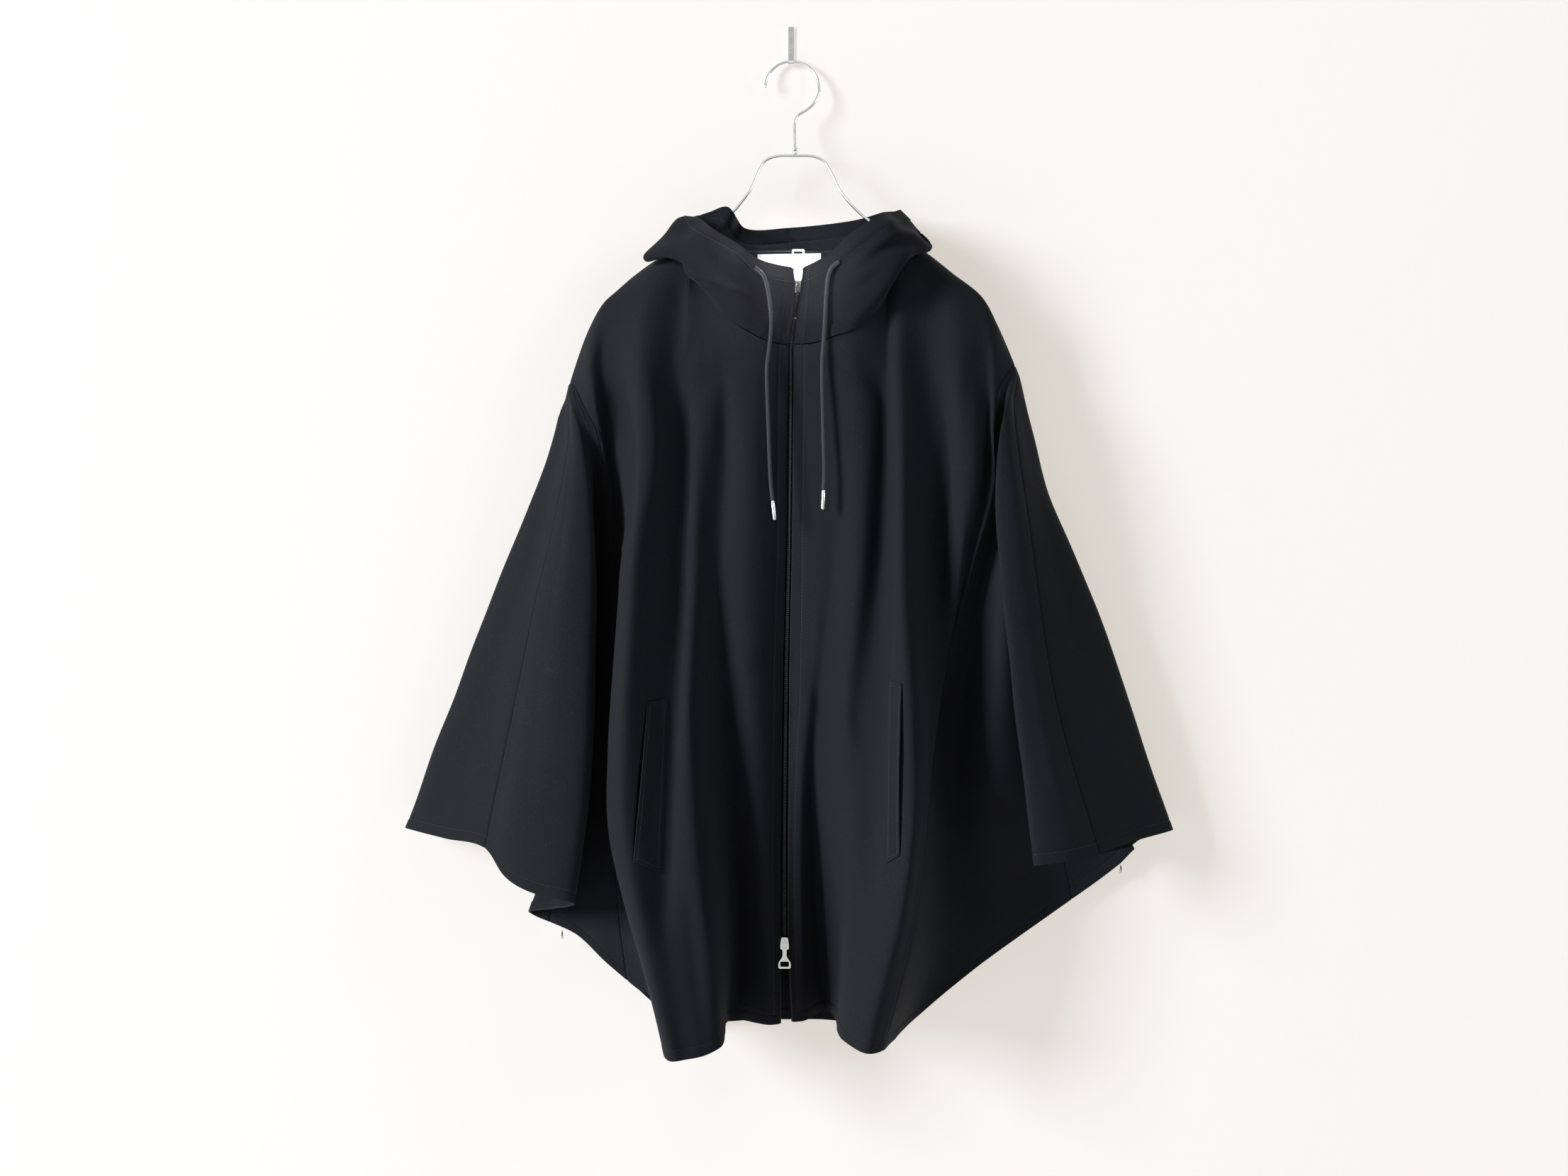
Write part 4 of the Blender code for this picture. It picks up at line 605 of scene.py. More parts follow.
LEFT_HOOD = (
    ("edge", (-3, 326, 92), (1, 292, 97), (3, 259, 99), (0, 245, 98)),
    ("near ridge", (-22.5, 322.8, 99.2), (-20, 292, 102), (-18, 266, 103), (-17, 242, 99)),
    ("inner valley", (-45.7, 311.8, 103.2), (-46, 292, 112), (-40, 262, 113), (-36, 236, 106)),
    ("face", (-74, 290, 100), (-78, 273, 114), (-65, 251, 124), (-58, 233, 120), (-60, 219, 111)),
    ("neck fold", (-96, 256, 86), (-106, 251, 104), (-107, 232, 116), (-95, 213, 112), (-82, 206, 102)),
    ("neck front", (-101, 238, 68), (-115, 229, 87), (-131, 234, 97), (-128, 222, 92), (-112, 209, 86),
     (-100, 198, 84), (-92, 198, 86)),
    ("neck side", (-107.5, 211.3, 52), (-125, 217, 63), (-152, 238, 76), (-156, 233, 70), (-138, 217, 66),
     (-119, 193, 60), (-100, 193, 70)),
    ("over shoulder", (-107.5, 212.3, 50), (-119, 215, 52), (-133, 223, 56), (-142, 227, 59), (-139, 218, 57),
     (-125, 203, 52), (-100, 191, 46)),
    ("behind shoulder", (-107.5, 212, 48.5), (-121, 219, 42), (-131, 232, 35), (-137, 246, 31),
     (-134, 251, 24), (-126, 236, 20), (-116, 208, 26), (-86, 186, 32)),
    ("back neck side", (-107, 211.5, 46), (-118, 218, 34), (-125, 277, 22), (-120, 314, 14), (-116, 277, 6),
     (-98, 221, 7), (-67, 181, 20)),
    ("back quarter", (-54, 223, 48), (-54, 238, 35), (-58, 299, 28), (-58, 352, 18), (-58, 299, 6),
     (-54, 236, 5), (-50, 203, 8)),
)

# %% [markdown]
# ## One fine surface
# The same rule as in the solid model is used with more rows and columns: a guide is cut into rows
# that stand close together at the hem, where the turned-up edge is stitched, and the curve across
# the guides fills in the folds between them. The solid follows the same surface before its creases.

# %% Rows, columns and the way out of the cloth
CLOTH = 1.8
SEAM_GAP = 0.4
FINE = 8  # columns between two guides
HALF = FINE // 2
BODY_ROWS = 96
HOOD_ROWS = 46
HEM = (0.0, 0.9, 3.0, 6.0, 9.0, 10.3, 11.0, 11.7, 13.5, 17.0, 22.0)  # rows this far up from the hem
HEM_STITCH = 11.0
RIM = (0.0, 1.0, 4.0, 8.0, 12.0, 15.2, 16.0, 16.8, 19.0, 23.0)  # and from the hood's rim
RIM_STITCH = 16.0
FAN_RADIUS = 3.2
FAN_EDGE_OUT = 0.6
FAN_LEAN = (0.45, 0.89)
SHOULDER_GAP = 1.3
SQUARE_WITHIN = 229.0
NECK_LAP = 2.5
NECK_CLEAR = 2.9
SHOULDER_ROWS = 6  # over which a moved shoulder edge eases into the cloth
LAPPED = ("face", "upper valley", "neck fold", "neck front", "back quarter", "back centre")


def guides(table, near, rows, power):
    """The names of the guide lines and their points, row by row."""
    lines = []
    for row in table:
        line = smooth([place(*point) for point in row[1:]], 24)
        whole = walk(line)[-1]
        upper = (whole - near[-1]) * (np.arange(rows) / rows) ** power
        lines.append(at_lengths(line, [*upper, *(whole - back for back in reversed(near))]))
    return [row[0] for row in table], lines


def fanned(table, top, side):
    """Sleeve guides with their tops set round the end of the shoulder line, from front to back."""
    across, drop, forward = top
    rows = []
    for number, row in enumerate(table):
        turn = math.pi * number / (len(table) - 1)
        reach, out = FAN_RADIUS * math.sin(turn), FAN_RADIUS * math.cos(turn)
        if number in (0, len(table) - 1):
            out = math.copysign(FAN_EDGE_OUT, out)
        start = (across + side * reach * FAN_LEAN[0], drop + reach * FAN_LEAN[1], forward + out)
        rows.append((row[0], start, *row[1:]))
    return rows


def surface(lines):
    """A grid of points, rows down and columns across, through the guide lines."""
    lines = np.array(lines)
    return np.stack([smooth(lines[:, row], FINE) for row in range(lines.shape[1])])


def ways_out(grid):
    """For each grid point, the way out of the cloth."""
    down, over = grid[1:, :-1] - grid[:-1, 1:], grid[1:, 1:] - grid[:-1, :-1]
    faces = unit(np.cross(down, over))
    total = np.zeros_like(grid)
    for rows in (slice(0, -1), slice(1, None)):
        for columns in (slice(0, -1), slice(1, None)):
            total[rows, columns] += faces
    return unit(total)


def join_shoulder(grid, ways, front_first, front_last, back_first, back_last):
    """Sets the back's shoulder edge along the front's, and squares both so that they face each other."""
    front, back = slice(front_first, front_last + 1), slice(back_first, back_last + 1)
    line = grid[0, front]
    line = line[np.argsort(line[:, 0])]
    old = grid[0, back].copy()
    for axis, shift in ((1, SHOULDER_GAP), (2, 0.0)):
        grid[0, back, axis] = np.interp(grid[0, back, 0], line[:, 0], line[:, axis]) + shift
    moved = grid[0, back] - old
    for row in range(1, SHOULDER_ROWS):
        grid[row, back] += moved * (1 - row / SHOULDER_ROWS) ** 2
    for part in (front, back):
        square = unit(np.cross(np.gradient(grid[0, part], axis=0), (0.0, 1.0, 0.0)))
        square *= np.sign(square[:, 2:])
        steep = np.abs(grid[0, part, 0]) > SQUARE_WITHIN
        ways[0, part] = np.where(steep[:, None], ways[0, part], square)


names, lines, sides = [], [], []
for side, table, order in (
    ("right", RIGHT_FRONT, 1),
    ("right", fanned(RIGHT_SLEEVE, RIGHT_FAN_TOP, 1), 1),
    ("right", RIGHT_BACK, 1),
    ("middle", BACK_CENTRE, 1),
    ("left", LEFT_BACK, -1),
    ("left", fanned(LEFT_SLEEVE, LEFT_FAN_TOP, -1), -1),
    ("left", LEFT_FRONT, -1),
):
    new_names, new_lines = guides(table, HEM, BODY_ROWS, 1.25)
    names += new_names[::order]
    lines += new_lines[::order]
    sides += [side] * len(new_names)
column_of = {pair: FINE * number for number, pair in enumerate(zip(sides, names))}
column_of["right", "neck front"] = column_of["right", "crest"] - HALF
column_of["left", "neck front"] = column_of["left", "upper valley"] + HALF
cloth = surface(lines)
cloth_ways = ways_out(cloth)
join_shoulder(cloth, cloth_ways, column_of["right", "crest"], column_of["right", "side seam"],
              column_of["right", "back seam"], column_of["right", "back neck side"])
join_shoulder(cloth, cloth_ways, column_of["left", "side seam"], column_of["left", "upper valley"],
              column_of["left", "back neck side"], column_of["left", "back seam"])
shoulder_line = cloth[0].copy()
print("cloth grid", cloth.shape[:2], "rows and columns; hem", round(walk(cloth[-1])[-1]), "mm round")

# %% [markdown]
# ## The hood
# The hood has dropped back. It is a pouch that hangs behind the neck, and at each side of the zip
# its front rolls outwards over the shoulder. Its guides run from the neck seam to the rim of the
# face opening. Where the first rows would cut through the body they are moved out, one small
# triangle at a time, until they clear it.


# %% The hood's surface
LIFTS = 8  # at most this many rounds of moving points out
NEAR_ENOUGH = 0.02
NECK_ROWS = 24  # the hood's rows that can meet the body's
SHOULDER_REACH = 40  # and the body's that they can meet


def squares(rows, columns):
    """The four corners of each square of a grid of points."""
    corner = (np.arange(rows - 1)[:, None] * columns + np.arange(columns - 1)).ravel()
    return np.stack([corner, corner + columns, corner + columns + 1, corner + 1], axis=1)


def grid_tree(grid):
    """A surface that lines of sight and nearest points can be found on."""
    four = squares(*grid.shape[:2])
    halves = np.vstack([four[:, [0, 3, 1]], four[:, [3, 2, 1]]])
    return BVHTree.FromPolygons(grid.reshape(-1, 3).tolist(), halves.tolist())


def lift_off(grid, tree, clearance):
    """Moves the points that are too near a surface, or through it, out to this clearance."""
    for _ in range(LIFTS):
        push = np.zeros_like(grid)
        for place_in_grid in np.ndindex(grid.shape[:2]):
            at = grid[place_in_grid]
            spot, way, _, _ = tree.find_nearest(Vector(at))
            way = -np.array(way)
            short = clearance - (at - np.array(spot)) @ way
            if short > NEAR_ENOUGH and np.linalg.norm(at - np.array(spot)) < 4 * clearance:
                push[place_in_grid] = way * min(short, clearance)
        if not push.any():
            break
        grid += push


hood_lines = []
for side, table, order in (("right", RIGHT_HOOD, 1), ("middle", HOOD_CENTRE, 1), ("left", LEFT_HOOD, -1)):
    new_names, new_lines = guides(table, RIM, HOOD_ROWS, 1.0)
    for name, line in zip(new_names, new_lines):
        if name in LAPPED:
            column = column_of[side, name]
            start = cloth[0, column] + cloth_ways[0, column] * NECK_LAP
            fade = (1 - np.arange(len(line)) / (len(line) - 1)) ** 4
            line += np.outer(fade, start - line[0])
    hood_lines += new_lines[::order]
hood = surface(hood_lines)
lift_off(hood[:NECK_ROWS, 2 * FINE:-2 * FINE], grid_tree(cloth[:SHOULDER_REACH]), NECK_CLEAR)
hood_ways = ways_out(hood)
print("hood grid", hood.shape[:2], "rim", round(walk(hood[-1])[-1]), "mm round")

# %% [markdown]
# ## Two places that stand further forward
# Left of the neck the hood's rim stands up in front of the hanger's arm. At the right, beside the
# sleeve, the side of the body swells forward and catches the light; that is done after the creases.
# Both are brought out along the lines of sight, so the outline of the front view stays the same.

# %% Rim and side brought forward
PEAK_FORWARD = 60.0
PEAK_ROWS = (41.0, 4.5)  # from this row on, over this many rows
PEAK_FROM = (12.2, 0.5)  # from this guide on, over this many guides
PEAK_TO = (-16.3, 1.1)  # and the same counted backwards
SIDE_SWELL = 45.0
SWELL_WIDE = 8.5  # columns each way from the side face
SWELL_FROM = (480, 140)  # from this far down, over this much
SWELL_TO = (-900, 110)  # and the same counted upwards
LEAST_MOVE = 0.05


def bring_forward(grid, amount):
    """Brings points out from the wall by these amounts, along their lines of sight."""
    seen = front_view(grid)
    for spot in zip(*np.nonzero(amount > LEAST_MOVE)):
        grid[spot] = place(*seen[spot], amount[spot] - grid[spot][1])


def risen(values, start, over):
    """From 0 at the start to 1 this much further on."""
    return np.clip((values - start) / over, 0, 1)


guide = np.arange(hood.shape[1])[None, :] / FINE
flank = eased(risen(guide, *PEAK_FROM) * risen(-guide, *PEAK_TO))
upper = eased(risen(np.arange(len(hood)), *PEAK_ROWS))[:, None]
bring_forward(hood, np.maximum(PEAK_FORWARD + hood[..., 1], 0) * flank * upper)
hood_ways = ways_out(hood)

# %% [markdown]
# ## Creases one by one
# The guides give the big folds. What makes cloth look like cloth are the small ones: pull lines
# under the hood, drag marks at the zip, and a soft unevenness everywhere. Each row of the table is
# one trough or ridge, drawn in the front view, with its width and height. A cloth simulation would
# place such marks where it likes; a table puts them where the photograph has them.


# %% Troughs and ridges
def crease(grid, ways, part, path, wide, high):
    """Raises (or sinks) these columns of the surface along a path of (across, drop)."""
    seen = front_view(grid[:, part])[:, :, None]
    knots = smooth([(*spot, 0) for spot in path], 6)[:, :2]
    start, run = knots[:-1], np.diff(knots, axis=0)
    share = np.clip(((seen - start) * run).sum(-1) / (run**2).sum(-1), 0, 1)
    away = np.linalg.norm(seen - start - share[..., None] * run, axis=-1)
    nearest = away.argmin(-1)
    place_along = (nearest + np.take_along_axis(share, nearest[..., None], -1)[..., 0]) / len(run)
    fade = np.sin(np.pi * np.clip(place_along, 0.02, 0.98)) ** 0.7
    amount = high * np.exp(-(away.min(-1) / wide) ** 2) * fade
    grid[:, part] += ways[:, part] * amount[..., None]


def uneven(grid, ways, size, height, seed):
    """A soft random unevenness, the same each time."""
    draw = np.random.default_rng(seed)
    total = np.zeros(grid.shape[:2])
    for _ in range(9):
        wave = draw.normal(size=3) * (1.0, 1.0, 0.45) / size
        total += np.sin(grid @ wave * math.tau + draw.uniform(0, math.tau))
    grid += ways * (total / 3 * height)[..., None]


def between_guides(side, *names):
    """The columns from one guide to another."""
    first, last = sorted(column_of[side, name] for name in names)
    return slice(first, last + 1)


# side, first guide, last guide, path, half width, height
CREASES = (
    ("left", "crest", "inner valley", ((-115, 359), (-115, 428), (-121, 562), (-129, 724), (-132, 866),
     (-136, 944)), 13, -12),
    ("left", "side face", "upper valley", ((-188, 359), (-179, 412), (-174, 457), (-178, 547)), 12, -13),
    ("left", "flute edge", "neck fold", ((-151, 359), (-148, 428), (-154, 517)), 9, 7),
    ("left", "face", "near ridge", ((-71, 352), (-70, 428), (-74, 547)), 9, -6),
    ("right", "face", "crest", ((103, 367), (102, 487), (97, 607), (92, 724), (86, 866), (79, 937)), 10, -11),
    ("right", "inner valley", "upper valley", ((84, 382), (72, 562), (60, 724), (66, 866), (62, 937)), 10, 6),
    ("right", "crest", "side ridge", ((160, 352), (162, 428), (157, 532), (151, 622)), 9, -8),
    ("right", "side ridge", "side valley", ((192, 367), (192, 442), (187, 532)), 8, 5),
    ("right", "edge", "upper valley", ((22, 652), (40, 690), (62, 735), (78, 782)), 7, 1.6),
    ("right", "edge", "upper valley", ((14, 668), (30, 706), (50, 752), (66, 800)), 6, -1.4),
    ("right", "near ridge", "upper valley", ((8, 600), (30, 640), (50, 690)), 9, 1.1),
    ("left", "edge", "face", ((-12, 640), (-40, 652), (-78, 668), (-96, 690)), 6, 1.3),
    ("left", "edge", "face", ((-12, 660), (-36, 674), (-66, 690)), 6, -1.2),
    ("left", "edge", "face", ((-14, 700), (-40, 716), (-74, 742)), 8, 1.0),
    ("right", "edge", "crest", ((36, 340), (62, 352), (90, 372), (104, 410)), 9, -1.8),
    ("right", "inner valley", "crest", ((66, 322), (84, 350), (96, 400), (98, 470)), 9, -1.6),
    ("left", "edge", "upper valley", ((-40, 340), (-66, 352), (-96, 372), (-112, 410)), 9, -1.8),
    ("left", "inner valley", "crest", ((-96, 300), (-110, 340), (-118, 400), (-120, 470)), 8, -1.8),
    ("left", "upper valley", "shoulder ridge", ((-186, 318), (-178, 360), (-172, 420)), 7, -1.4),
    ("right", "crest", "side seam", ((200, 330), (190, 370), (184, 430)), 8, -1.3),
    ("right", "side ridge", "side seam", ((222, 392), (206, 430), (198, 500)), 7, 1.2),
    ("right", "side valley", "side back fold", ((240, 600), (228, 680), (222, 770)), 12, 1.6),
    ("right", "side face", "side back fold", ((262, 640), (262, 720), (270, 800)), 12, -1.2),
    ("left", "face", "flute edge", ((-150, 560), (-152, 640), (-158, 760)), 10, 1.0),
    ("right", "upper valley", "side ridge", ((120, 820), (112, 900), (100, 980)), 8, -1.2),
    ("left", "face", "crest", ((-112, 880), (-104, 960), (-98, 1030)), 8, -1.2),
    ("right", "sleeve fold", "overarm seam", ((236, 520), (246, 640), (262, 760), (280, 850)), 9, -1.4),
    ("right", "overarm seam", "outer edge", ((268, 470), (300, 580), (340, 700), (366, 790)), 12, 1.3),
    ("left", "sleeve step", "overarm seam", ((-240, 470), (-262, 580), (-286, 700)), 10, 1.2),
    ("left", "overarm seam", "outer edge", ((-264, 470), (-298, 590), (-340, 700), (-366, 780)), 12, 1.3),
    ("right", "back outer fold", "back seam", ((190, 330), (200, 420), (212, 520)), 10, 1.4),
    ("left", "back outer fold", "back seam", ((-190, 336), (-200, 420), (-212, 520)), 10, 1.4),
    ("right", "back fold", "back quarter", ((90, 330), (70, 420), (62, 520)), 12, -1.5),
    ("left", "back fold", "back quarter", ((-92, 330), (-74, 430), (-66, 540)), 12, -1.5),
    ("right", "back fold", "back neck side", ((110, 600), (100, 740), (92, 900)), 14, 1.6),
    ("left", "back fold", "back neck side", ((-104, 620), (-100, 760), (-94, 920)), 14, 1.4),
)
# first guide, last guide, path, half width, height
HOOD_CREASES = (
    (2.5, 5.6, ((67, 242), (98, 216), (118, 210), (131, 214), (146, 225)), 5, -4.0),
    (1.2, 4.5, ((60, 262), (86, 246), (112, 232)), 6, -2.2),
    (2.5, 5.0, ((62, 232), (84, 212), (104, 200)), 7, 1.8),
    (16, 20.6, ((-135, 239), (-123, 242), (-112, 247), (-88, 257), (-60, 268), (-33, 280)), 5, -4.5),
    (16.5, 20, ((-126, 230), (-104, 236), (-80, 245), (-50, 256)), 7, 1.8),
    (18, 20, ((-84, 284), (-66, 294), (-46, 300)), 6, -1.6),
)
for side, first, last, path, wide, high in CREASES:
    crease(cloth, cloth_ways, between_guides(side, first, last), path, wide, high)
for first, last, path, wide, high in HOOD_CREASES:
    crease(hood, hood_ways, slice(int(first * FINE), int(last * FINE) + 1), path, wide, high)
off = np.abs(np.arange(cloth.shape[1]) - (column_of["right", "side face"] + 1))
swell = np.clip(1 - off / SWELL_WIDE, 0, 1)[None, :]
drop = front_view(cloth)[..., 1]
bring_forward(cloth, SIDE_SWELL * eased(swell) * risen(drop, *SWELL_FROM) * risen(-drop, *SWELL_TO))
# The first rows are left alone, because the shoulders and the neck have to meet.
for grid, ways, first, size, height, seed in ((cloth, cloth_ways, 12, 95.0, 0.5, 3),
                                              (hood, hood_ways, 14, 60.0, 0.25, 4)):
    uneven(grid[first:], ways[first:], size, height, seed)
cloth_ways[1:] = ways_out(cloth)[1:]
hood_ways = ways_out(hood)
print(len(CREASES) + len(HOOD_CREASES), "creases")

# %% [markdown]
# ## Panels
# A pattern cutter's pieces are cut out of the surface at the seams. Each one is a closed shell as
# thick as the knit, doubled at the hem where it is turned up. At a seam the two edges roll in, so
# a seam reads as a soft groove, and the stitched line of the hem is a shallow groove too. A
# Solidify modifier could give the wall, but not the turned hem, so the shell is made directly.

# %% Cutting a panel
# New columns this far from an edge, how far they sink from the edge on, and how many old ones go.
SEAM_EDGE = ((0.6, 1.5, 3.2), (1.2, 0.65, 0.2, 0.0), HALF)
ZIP_EDGE = ((0.8, 4.0, 8.0, 10.3, 11.0, 11.7), (0.35, 0.0, 0.0, 0.0, 0.15, 0.45, 0.15), FINE)
FRONT_STITCH = 5  # the column that the stitches by the zip follow
MARKS_WITHIN = 0.6  # the marks take up at most this much of the columns that they replace
HEM_DOUBLED = 1.1
HEM_INWARD = 0.25  # how much of the doubling lies on the outer side
GROOVE_WIDE = 0.8
GROOVE_DEEP = 0.4
SEWN_GAP = -0.15  # at a sewn seam the panels just meet, and no light comes through


def dense_edge(grid, ways, marks, rolls, count):
    """Replaces the first columns by ones at set distances from the edge, and rolls the edge in."""
    new_grid, new_ways = [], []
    for row, way in zip(grid, ways):
        walked = walk(row[:count + 1])
        scale = min(1.0, MARKS_WITHIN * walked[-1] / marks[-1])
        rest = np.linspace(marks[-1] * scale, walked[-1], 5)[1:]
        lengths = np.concatenate([[0.0], np.array(marks) * scale, rest])
        points = at_lengths(row[:count + 1], lengths)
        turned = unit(between(lengths, walked, way[:count + 1]))
        for number, roll in enumerate(rolls):
            points[number] -= turned[number] * roll * scale
        new_grid.append(np.vstack([points, row[count + 1:]]))
        new_ways.append(np.vstack([turned, way[count + 1:]]))
    return np.array(new_grid), np.array(new_ways)


def shell(name, grid, ways, thick, finishes, node):
    """A closed wall on a grid of middle points, with its cut laid out as a UV map."""
    rows, columns = grid.shape[:2]
    half = ways * (np.asarray(thick, float).reshape(-1, 1, 1) / 2)
    points = np.vstack([(grid + half).reshape(-1, 3), (grid - half).reshape(-1, 3)])
    outer = squares(rows, columns)
    behind = rows * columns
    border = [*range(columns), *range(2 * columns - 1, behind, columns)]
    border += [*range(behind - 2, behind - columns - 1, -1), *range(behind - 2 * columns, 0, -columns)]
    rim = [(one, two, behind + two, behind + one) for one, two in zip(border, border[1:] + border[:1])]
    faces = [*outer.tolist(), *(outer[:, ::-1] + behind).tolist(), *rim]
    over = np.stack([walk(row) for row in grid])
    over -= over[:, columns // 2][:, None]
    down = np.repeat(walk(grid[:, columns // 2])[:, None], columns, axis=1)
    cut = np.tile(np.stack([over, down], axis=-1).reshape(-1, 2) * MM, (2, 1))
    inner = range(len(outer), 2 * len(outer))
    return closed_piece(name, points, faces, cut[np.ravel(faces)], 60, finishes, node, inner)


def measured(grid):
    """The width, length and area of the cut, in metres."""
    wide = max(walk(row)[-1] for row in grid) * MM
    long = max(walk(grid[:, column])[-1] for column in range(grid.shape[1])) * MM
    one = np.cross(grid[1:, :-1] - grid[:-1, :-1], grid[:-1, 1:] - grid[:-1, :-1])
    two = np.cross(grid[1:, :-1] - grid[1:, 1:], grid[:-1, 1:] - grid[1:, 1:])
    area = (np.linalg.norm(one, axis=-1).sum() + np.linalg.norm(two, axis=-1).sum()) / 2 * MM**2
    return round(wide, 3), round(long, 3), round(area, 4)


def panel(node, grid, ways, first, last, near, stitch, free):
    """One cut piece: its seams rolled in, its hem doubled and grooved."""
    part, way = grid[:, first:last + 1].copy(), ways[:, first:last + 1].copy()
    for end, edge, next_in in (("first", 0, 1), ("last", -1, -2)):
        if end != free:
            part[:, edge] += unit(part[:, next_in] - part[:, edge]) * (SEWN_GAP / 2)
    flat = measured(part)
    for end in ("first", "last"):
        part, way = dense_edge(part, way, *(ZIP_EDGE if end == free else SEAM_EDGE))
        part, way = part[:, ::-1], way[:, ::-1]
    above = np.concatenate([np.full(len(part) - len(near), 99.0), near[::-1]])
    doubled = HEM_DOUBLED * (above < stitch)
    groove = np.exp(-((above - stitch) / GROOVE_WIDE) ** 2)[:, None, None]
    outer = part + way * (doubled[:, None, None] * -HEM_INWARD)
    piece = shell(node + "_cloth", outer - way * groove * GROOVE_DEEP, way, CLOTH + doubled,
                  (BLACK_KNIT, BLACK_INSIDE), node)
    return part, way, len(part) - 1 - near.index(stitch)


SEAMS = ("side seam", "side back fold", "overarm seam", "back seam")
right, left = ([column_of[side, name] for name in SEAMS] for side in ("right", "left"))
right[1] -= HALF  # the fold is cut halfway to the guide before it
left[1] += HALF
seams = [0, *right, *left[::-1], cloth.shape[1] - 1]
CUTS = ("front_right", "side_right", "sleeve_front_right", "sleeve_back_right", "back", "sleeve_back_left",
        "sleeve_front_left", "side_left", "front_left")
free_end = {"front_right": "first", "front_left": "last", "hood_right": "first", "hood_left": "last"}
panels = {}
for node, first, end in zip(CUTS, seams, seams[1:]):
    panels[node] = panel(node, cloth, cloth_ways, first, end, HEM, HEM_STITCH, free_end.get(node))
middle = FINE * len(RIGHT_HOOD)
for node, first, end in (("hood_right", 0, middle), ("hood_left", middle, hood.shape[1] - 1)):
    panels[node] = panel(node, hood, hood_ways, first, end, RIM, RIM_STITCH, free_end[node])

# %% [markdown]
# ## Stitches
# The hem, the hood's rim and the zip's edges are topstitched with black thread. Hundreds of small
# equal things along a line are a job for Geometry Nodes: a line becomes evenly spaced points, and
# each point gets one small part turned along the line. The same tree, with other sizes and a
# brick for its part, makes the zip's teeth later. The result is turned into a plain mesh.


# %% A tree that repeats a part along a line
def repeat_tree(name, brick, finish):
    """Points every `pitch` along a line, with a bead or a brick on each."""
    tree = bpy.data.node_groups.new(name, "GeometryNodeTree")
    tree.interface.new_socket("Geometry", in_out="INPUT", socket_type="NodeSocketGeometry")
    for size in ("pitch", "wide", "deep", "long"):
        tree.interface.new_socket(size, in_out="INPUT", socket_type="NodeSocketFloat")
    tree.interface.new_socket("Geometry", in_out="OUTPUT", socket_type="NodeSocketGeometry")

    def node(kind, **settings):
        made = tree.nodes.new(kind)
        for key, value in settings.items():
            setattr(made, key, value)
        return made

    def link(source, output, target, socket):
        tree.links.new(source.outputs[output], target.inputs[socket])

    start, end = node("NodeGroupInput"), node("NodeGroupOutput")
    curve = node("GeometryNodeMeshToCurve")
    spaced = node("GeometryNodeCurveToPoints", mode="LENGTH")
    size = node("ShaderNodeCombineXYZ")
    copies = node("GeometryNodeInstanceOnPoints")
    solid = node("GeometryNodeRealizeInstances")
    paint = node("GeometryNodeSetMaterial")
    paint.inputs["Material"].default_value = finish
    if brick:
        part = node("GeometryNodeMeshCube")
    else:
        part = node("GeometryNodeMeshUVSphere")
        part.inputs["Segments"].default_value = 6
        part.inputs["Rings"].default_value = 4
        part.inputs["Radius"].default_value = 0.5
    link(start, "Geometry", curve, "Mesh")
    link(curve, "Curve", spaced, "Curve")
    link(start, "pitch", spaced, "Length")
    for axis, key in enumerate(("wide", "deep", "long")):
        link(start, key, size, axis)
    link(spaced, "Points", copies, "Points")
    link(part, "Mesh", copies, "Instance")
    link(size, "Vector", copies, "Scale")
    if not brick:
        link(spaced, "Rotation", copies, "Rotation")
    link(copies, "Instances", solid, "Geometry")
    link(solid, "Geometry", paint, "Geometry")
    link(paint, "Geometry", end, "Geometry")
    return tree


def repeated(name, paths, tree, slot, node=None, **sizes):
    """One plain mesh of all the parts along these paths (millimetres)."""
    points, edges = [], []
    for path in paths:
        edges += [(len(points) + n, len(points) + n + 1) for n in range(len(path) - 1)]
        points += [tuple(spot * MM) for spot in path]
    data = bpy.data.meshes.new(name + "_line")
    data.from_pydata(points, edges, [])
    line = bpy.data.objects.new(name + "_line", data)
    bpy.context.scene.collection.objects.link(line)
    maker = line.modifiers.new("repeat", "NODES")
    maker.node_group = tree
    for item in tree.interface.items_tree:
        if item.in_out == "INPUT" and item.name in sizes:
            maker[item.identifier] = sizes[item.name] * MM
    graph = bpy.context.evaluated_depsgraph_get()
    made = bpy.data.meshes.new_from_object(line.evaluated_get(graph))
    made.name = name
    bpy.data.objects.remove(line)
    made.shade_smooth()
    print(name, len(made.polygons), "faces")
    return on_garment(name, made, node)


STITCH = repeat_tree("row of stitches", False, BLACK_THREAD)

# %% Stitches on hems, rim and front edges
ROW_END = 1.5  # a row of stitches stops this far from a seam
ROW_STEP = 2.0
rows = []
for node, (part, way, row) in panels.items():
    lines = [part[row] + way[row] * (CLOTH / 2 + 0.02)]
    if node.startswith("hood"):
        lines.append(part[row] - way[row] * (CLOTH / 2 + HEM_DOUBLED / 2 + 0.35))
    rows += [at_lengths(line, np.arange(ROW_END, walk(line)[-1] - ROW_END, ROW_STEP)) for line in lines]
for node, end in free_end.items():
    part, way, row = panels[node]
    column = FRONT_STITCH if end == "first" else -FRONT_STITCH - 1
    rows.append(part[2:row, column] + way[2:row, column] * (CLOTH / 2 - 0.05))
repeated("topstitching", rows, STITCH, "cloth", pitch=3.3, wide=0.5, deep=0.34, long=2.7)

# %% [markdown]
# ## The front zip
# Two woven tapes lie behind the front edges, and moulded teeth run down the gap from the upper
# slider to the lower one. Below the lower slider the zip is open. The teeth of the two sides
# alternate, so they are two rows of the same brick with half a step between them.

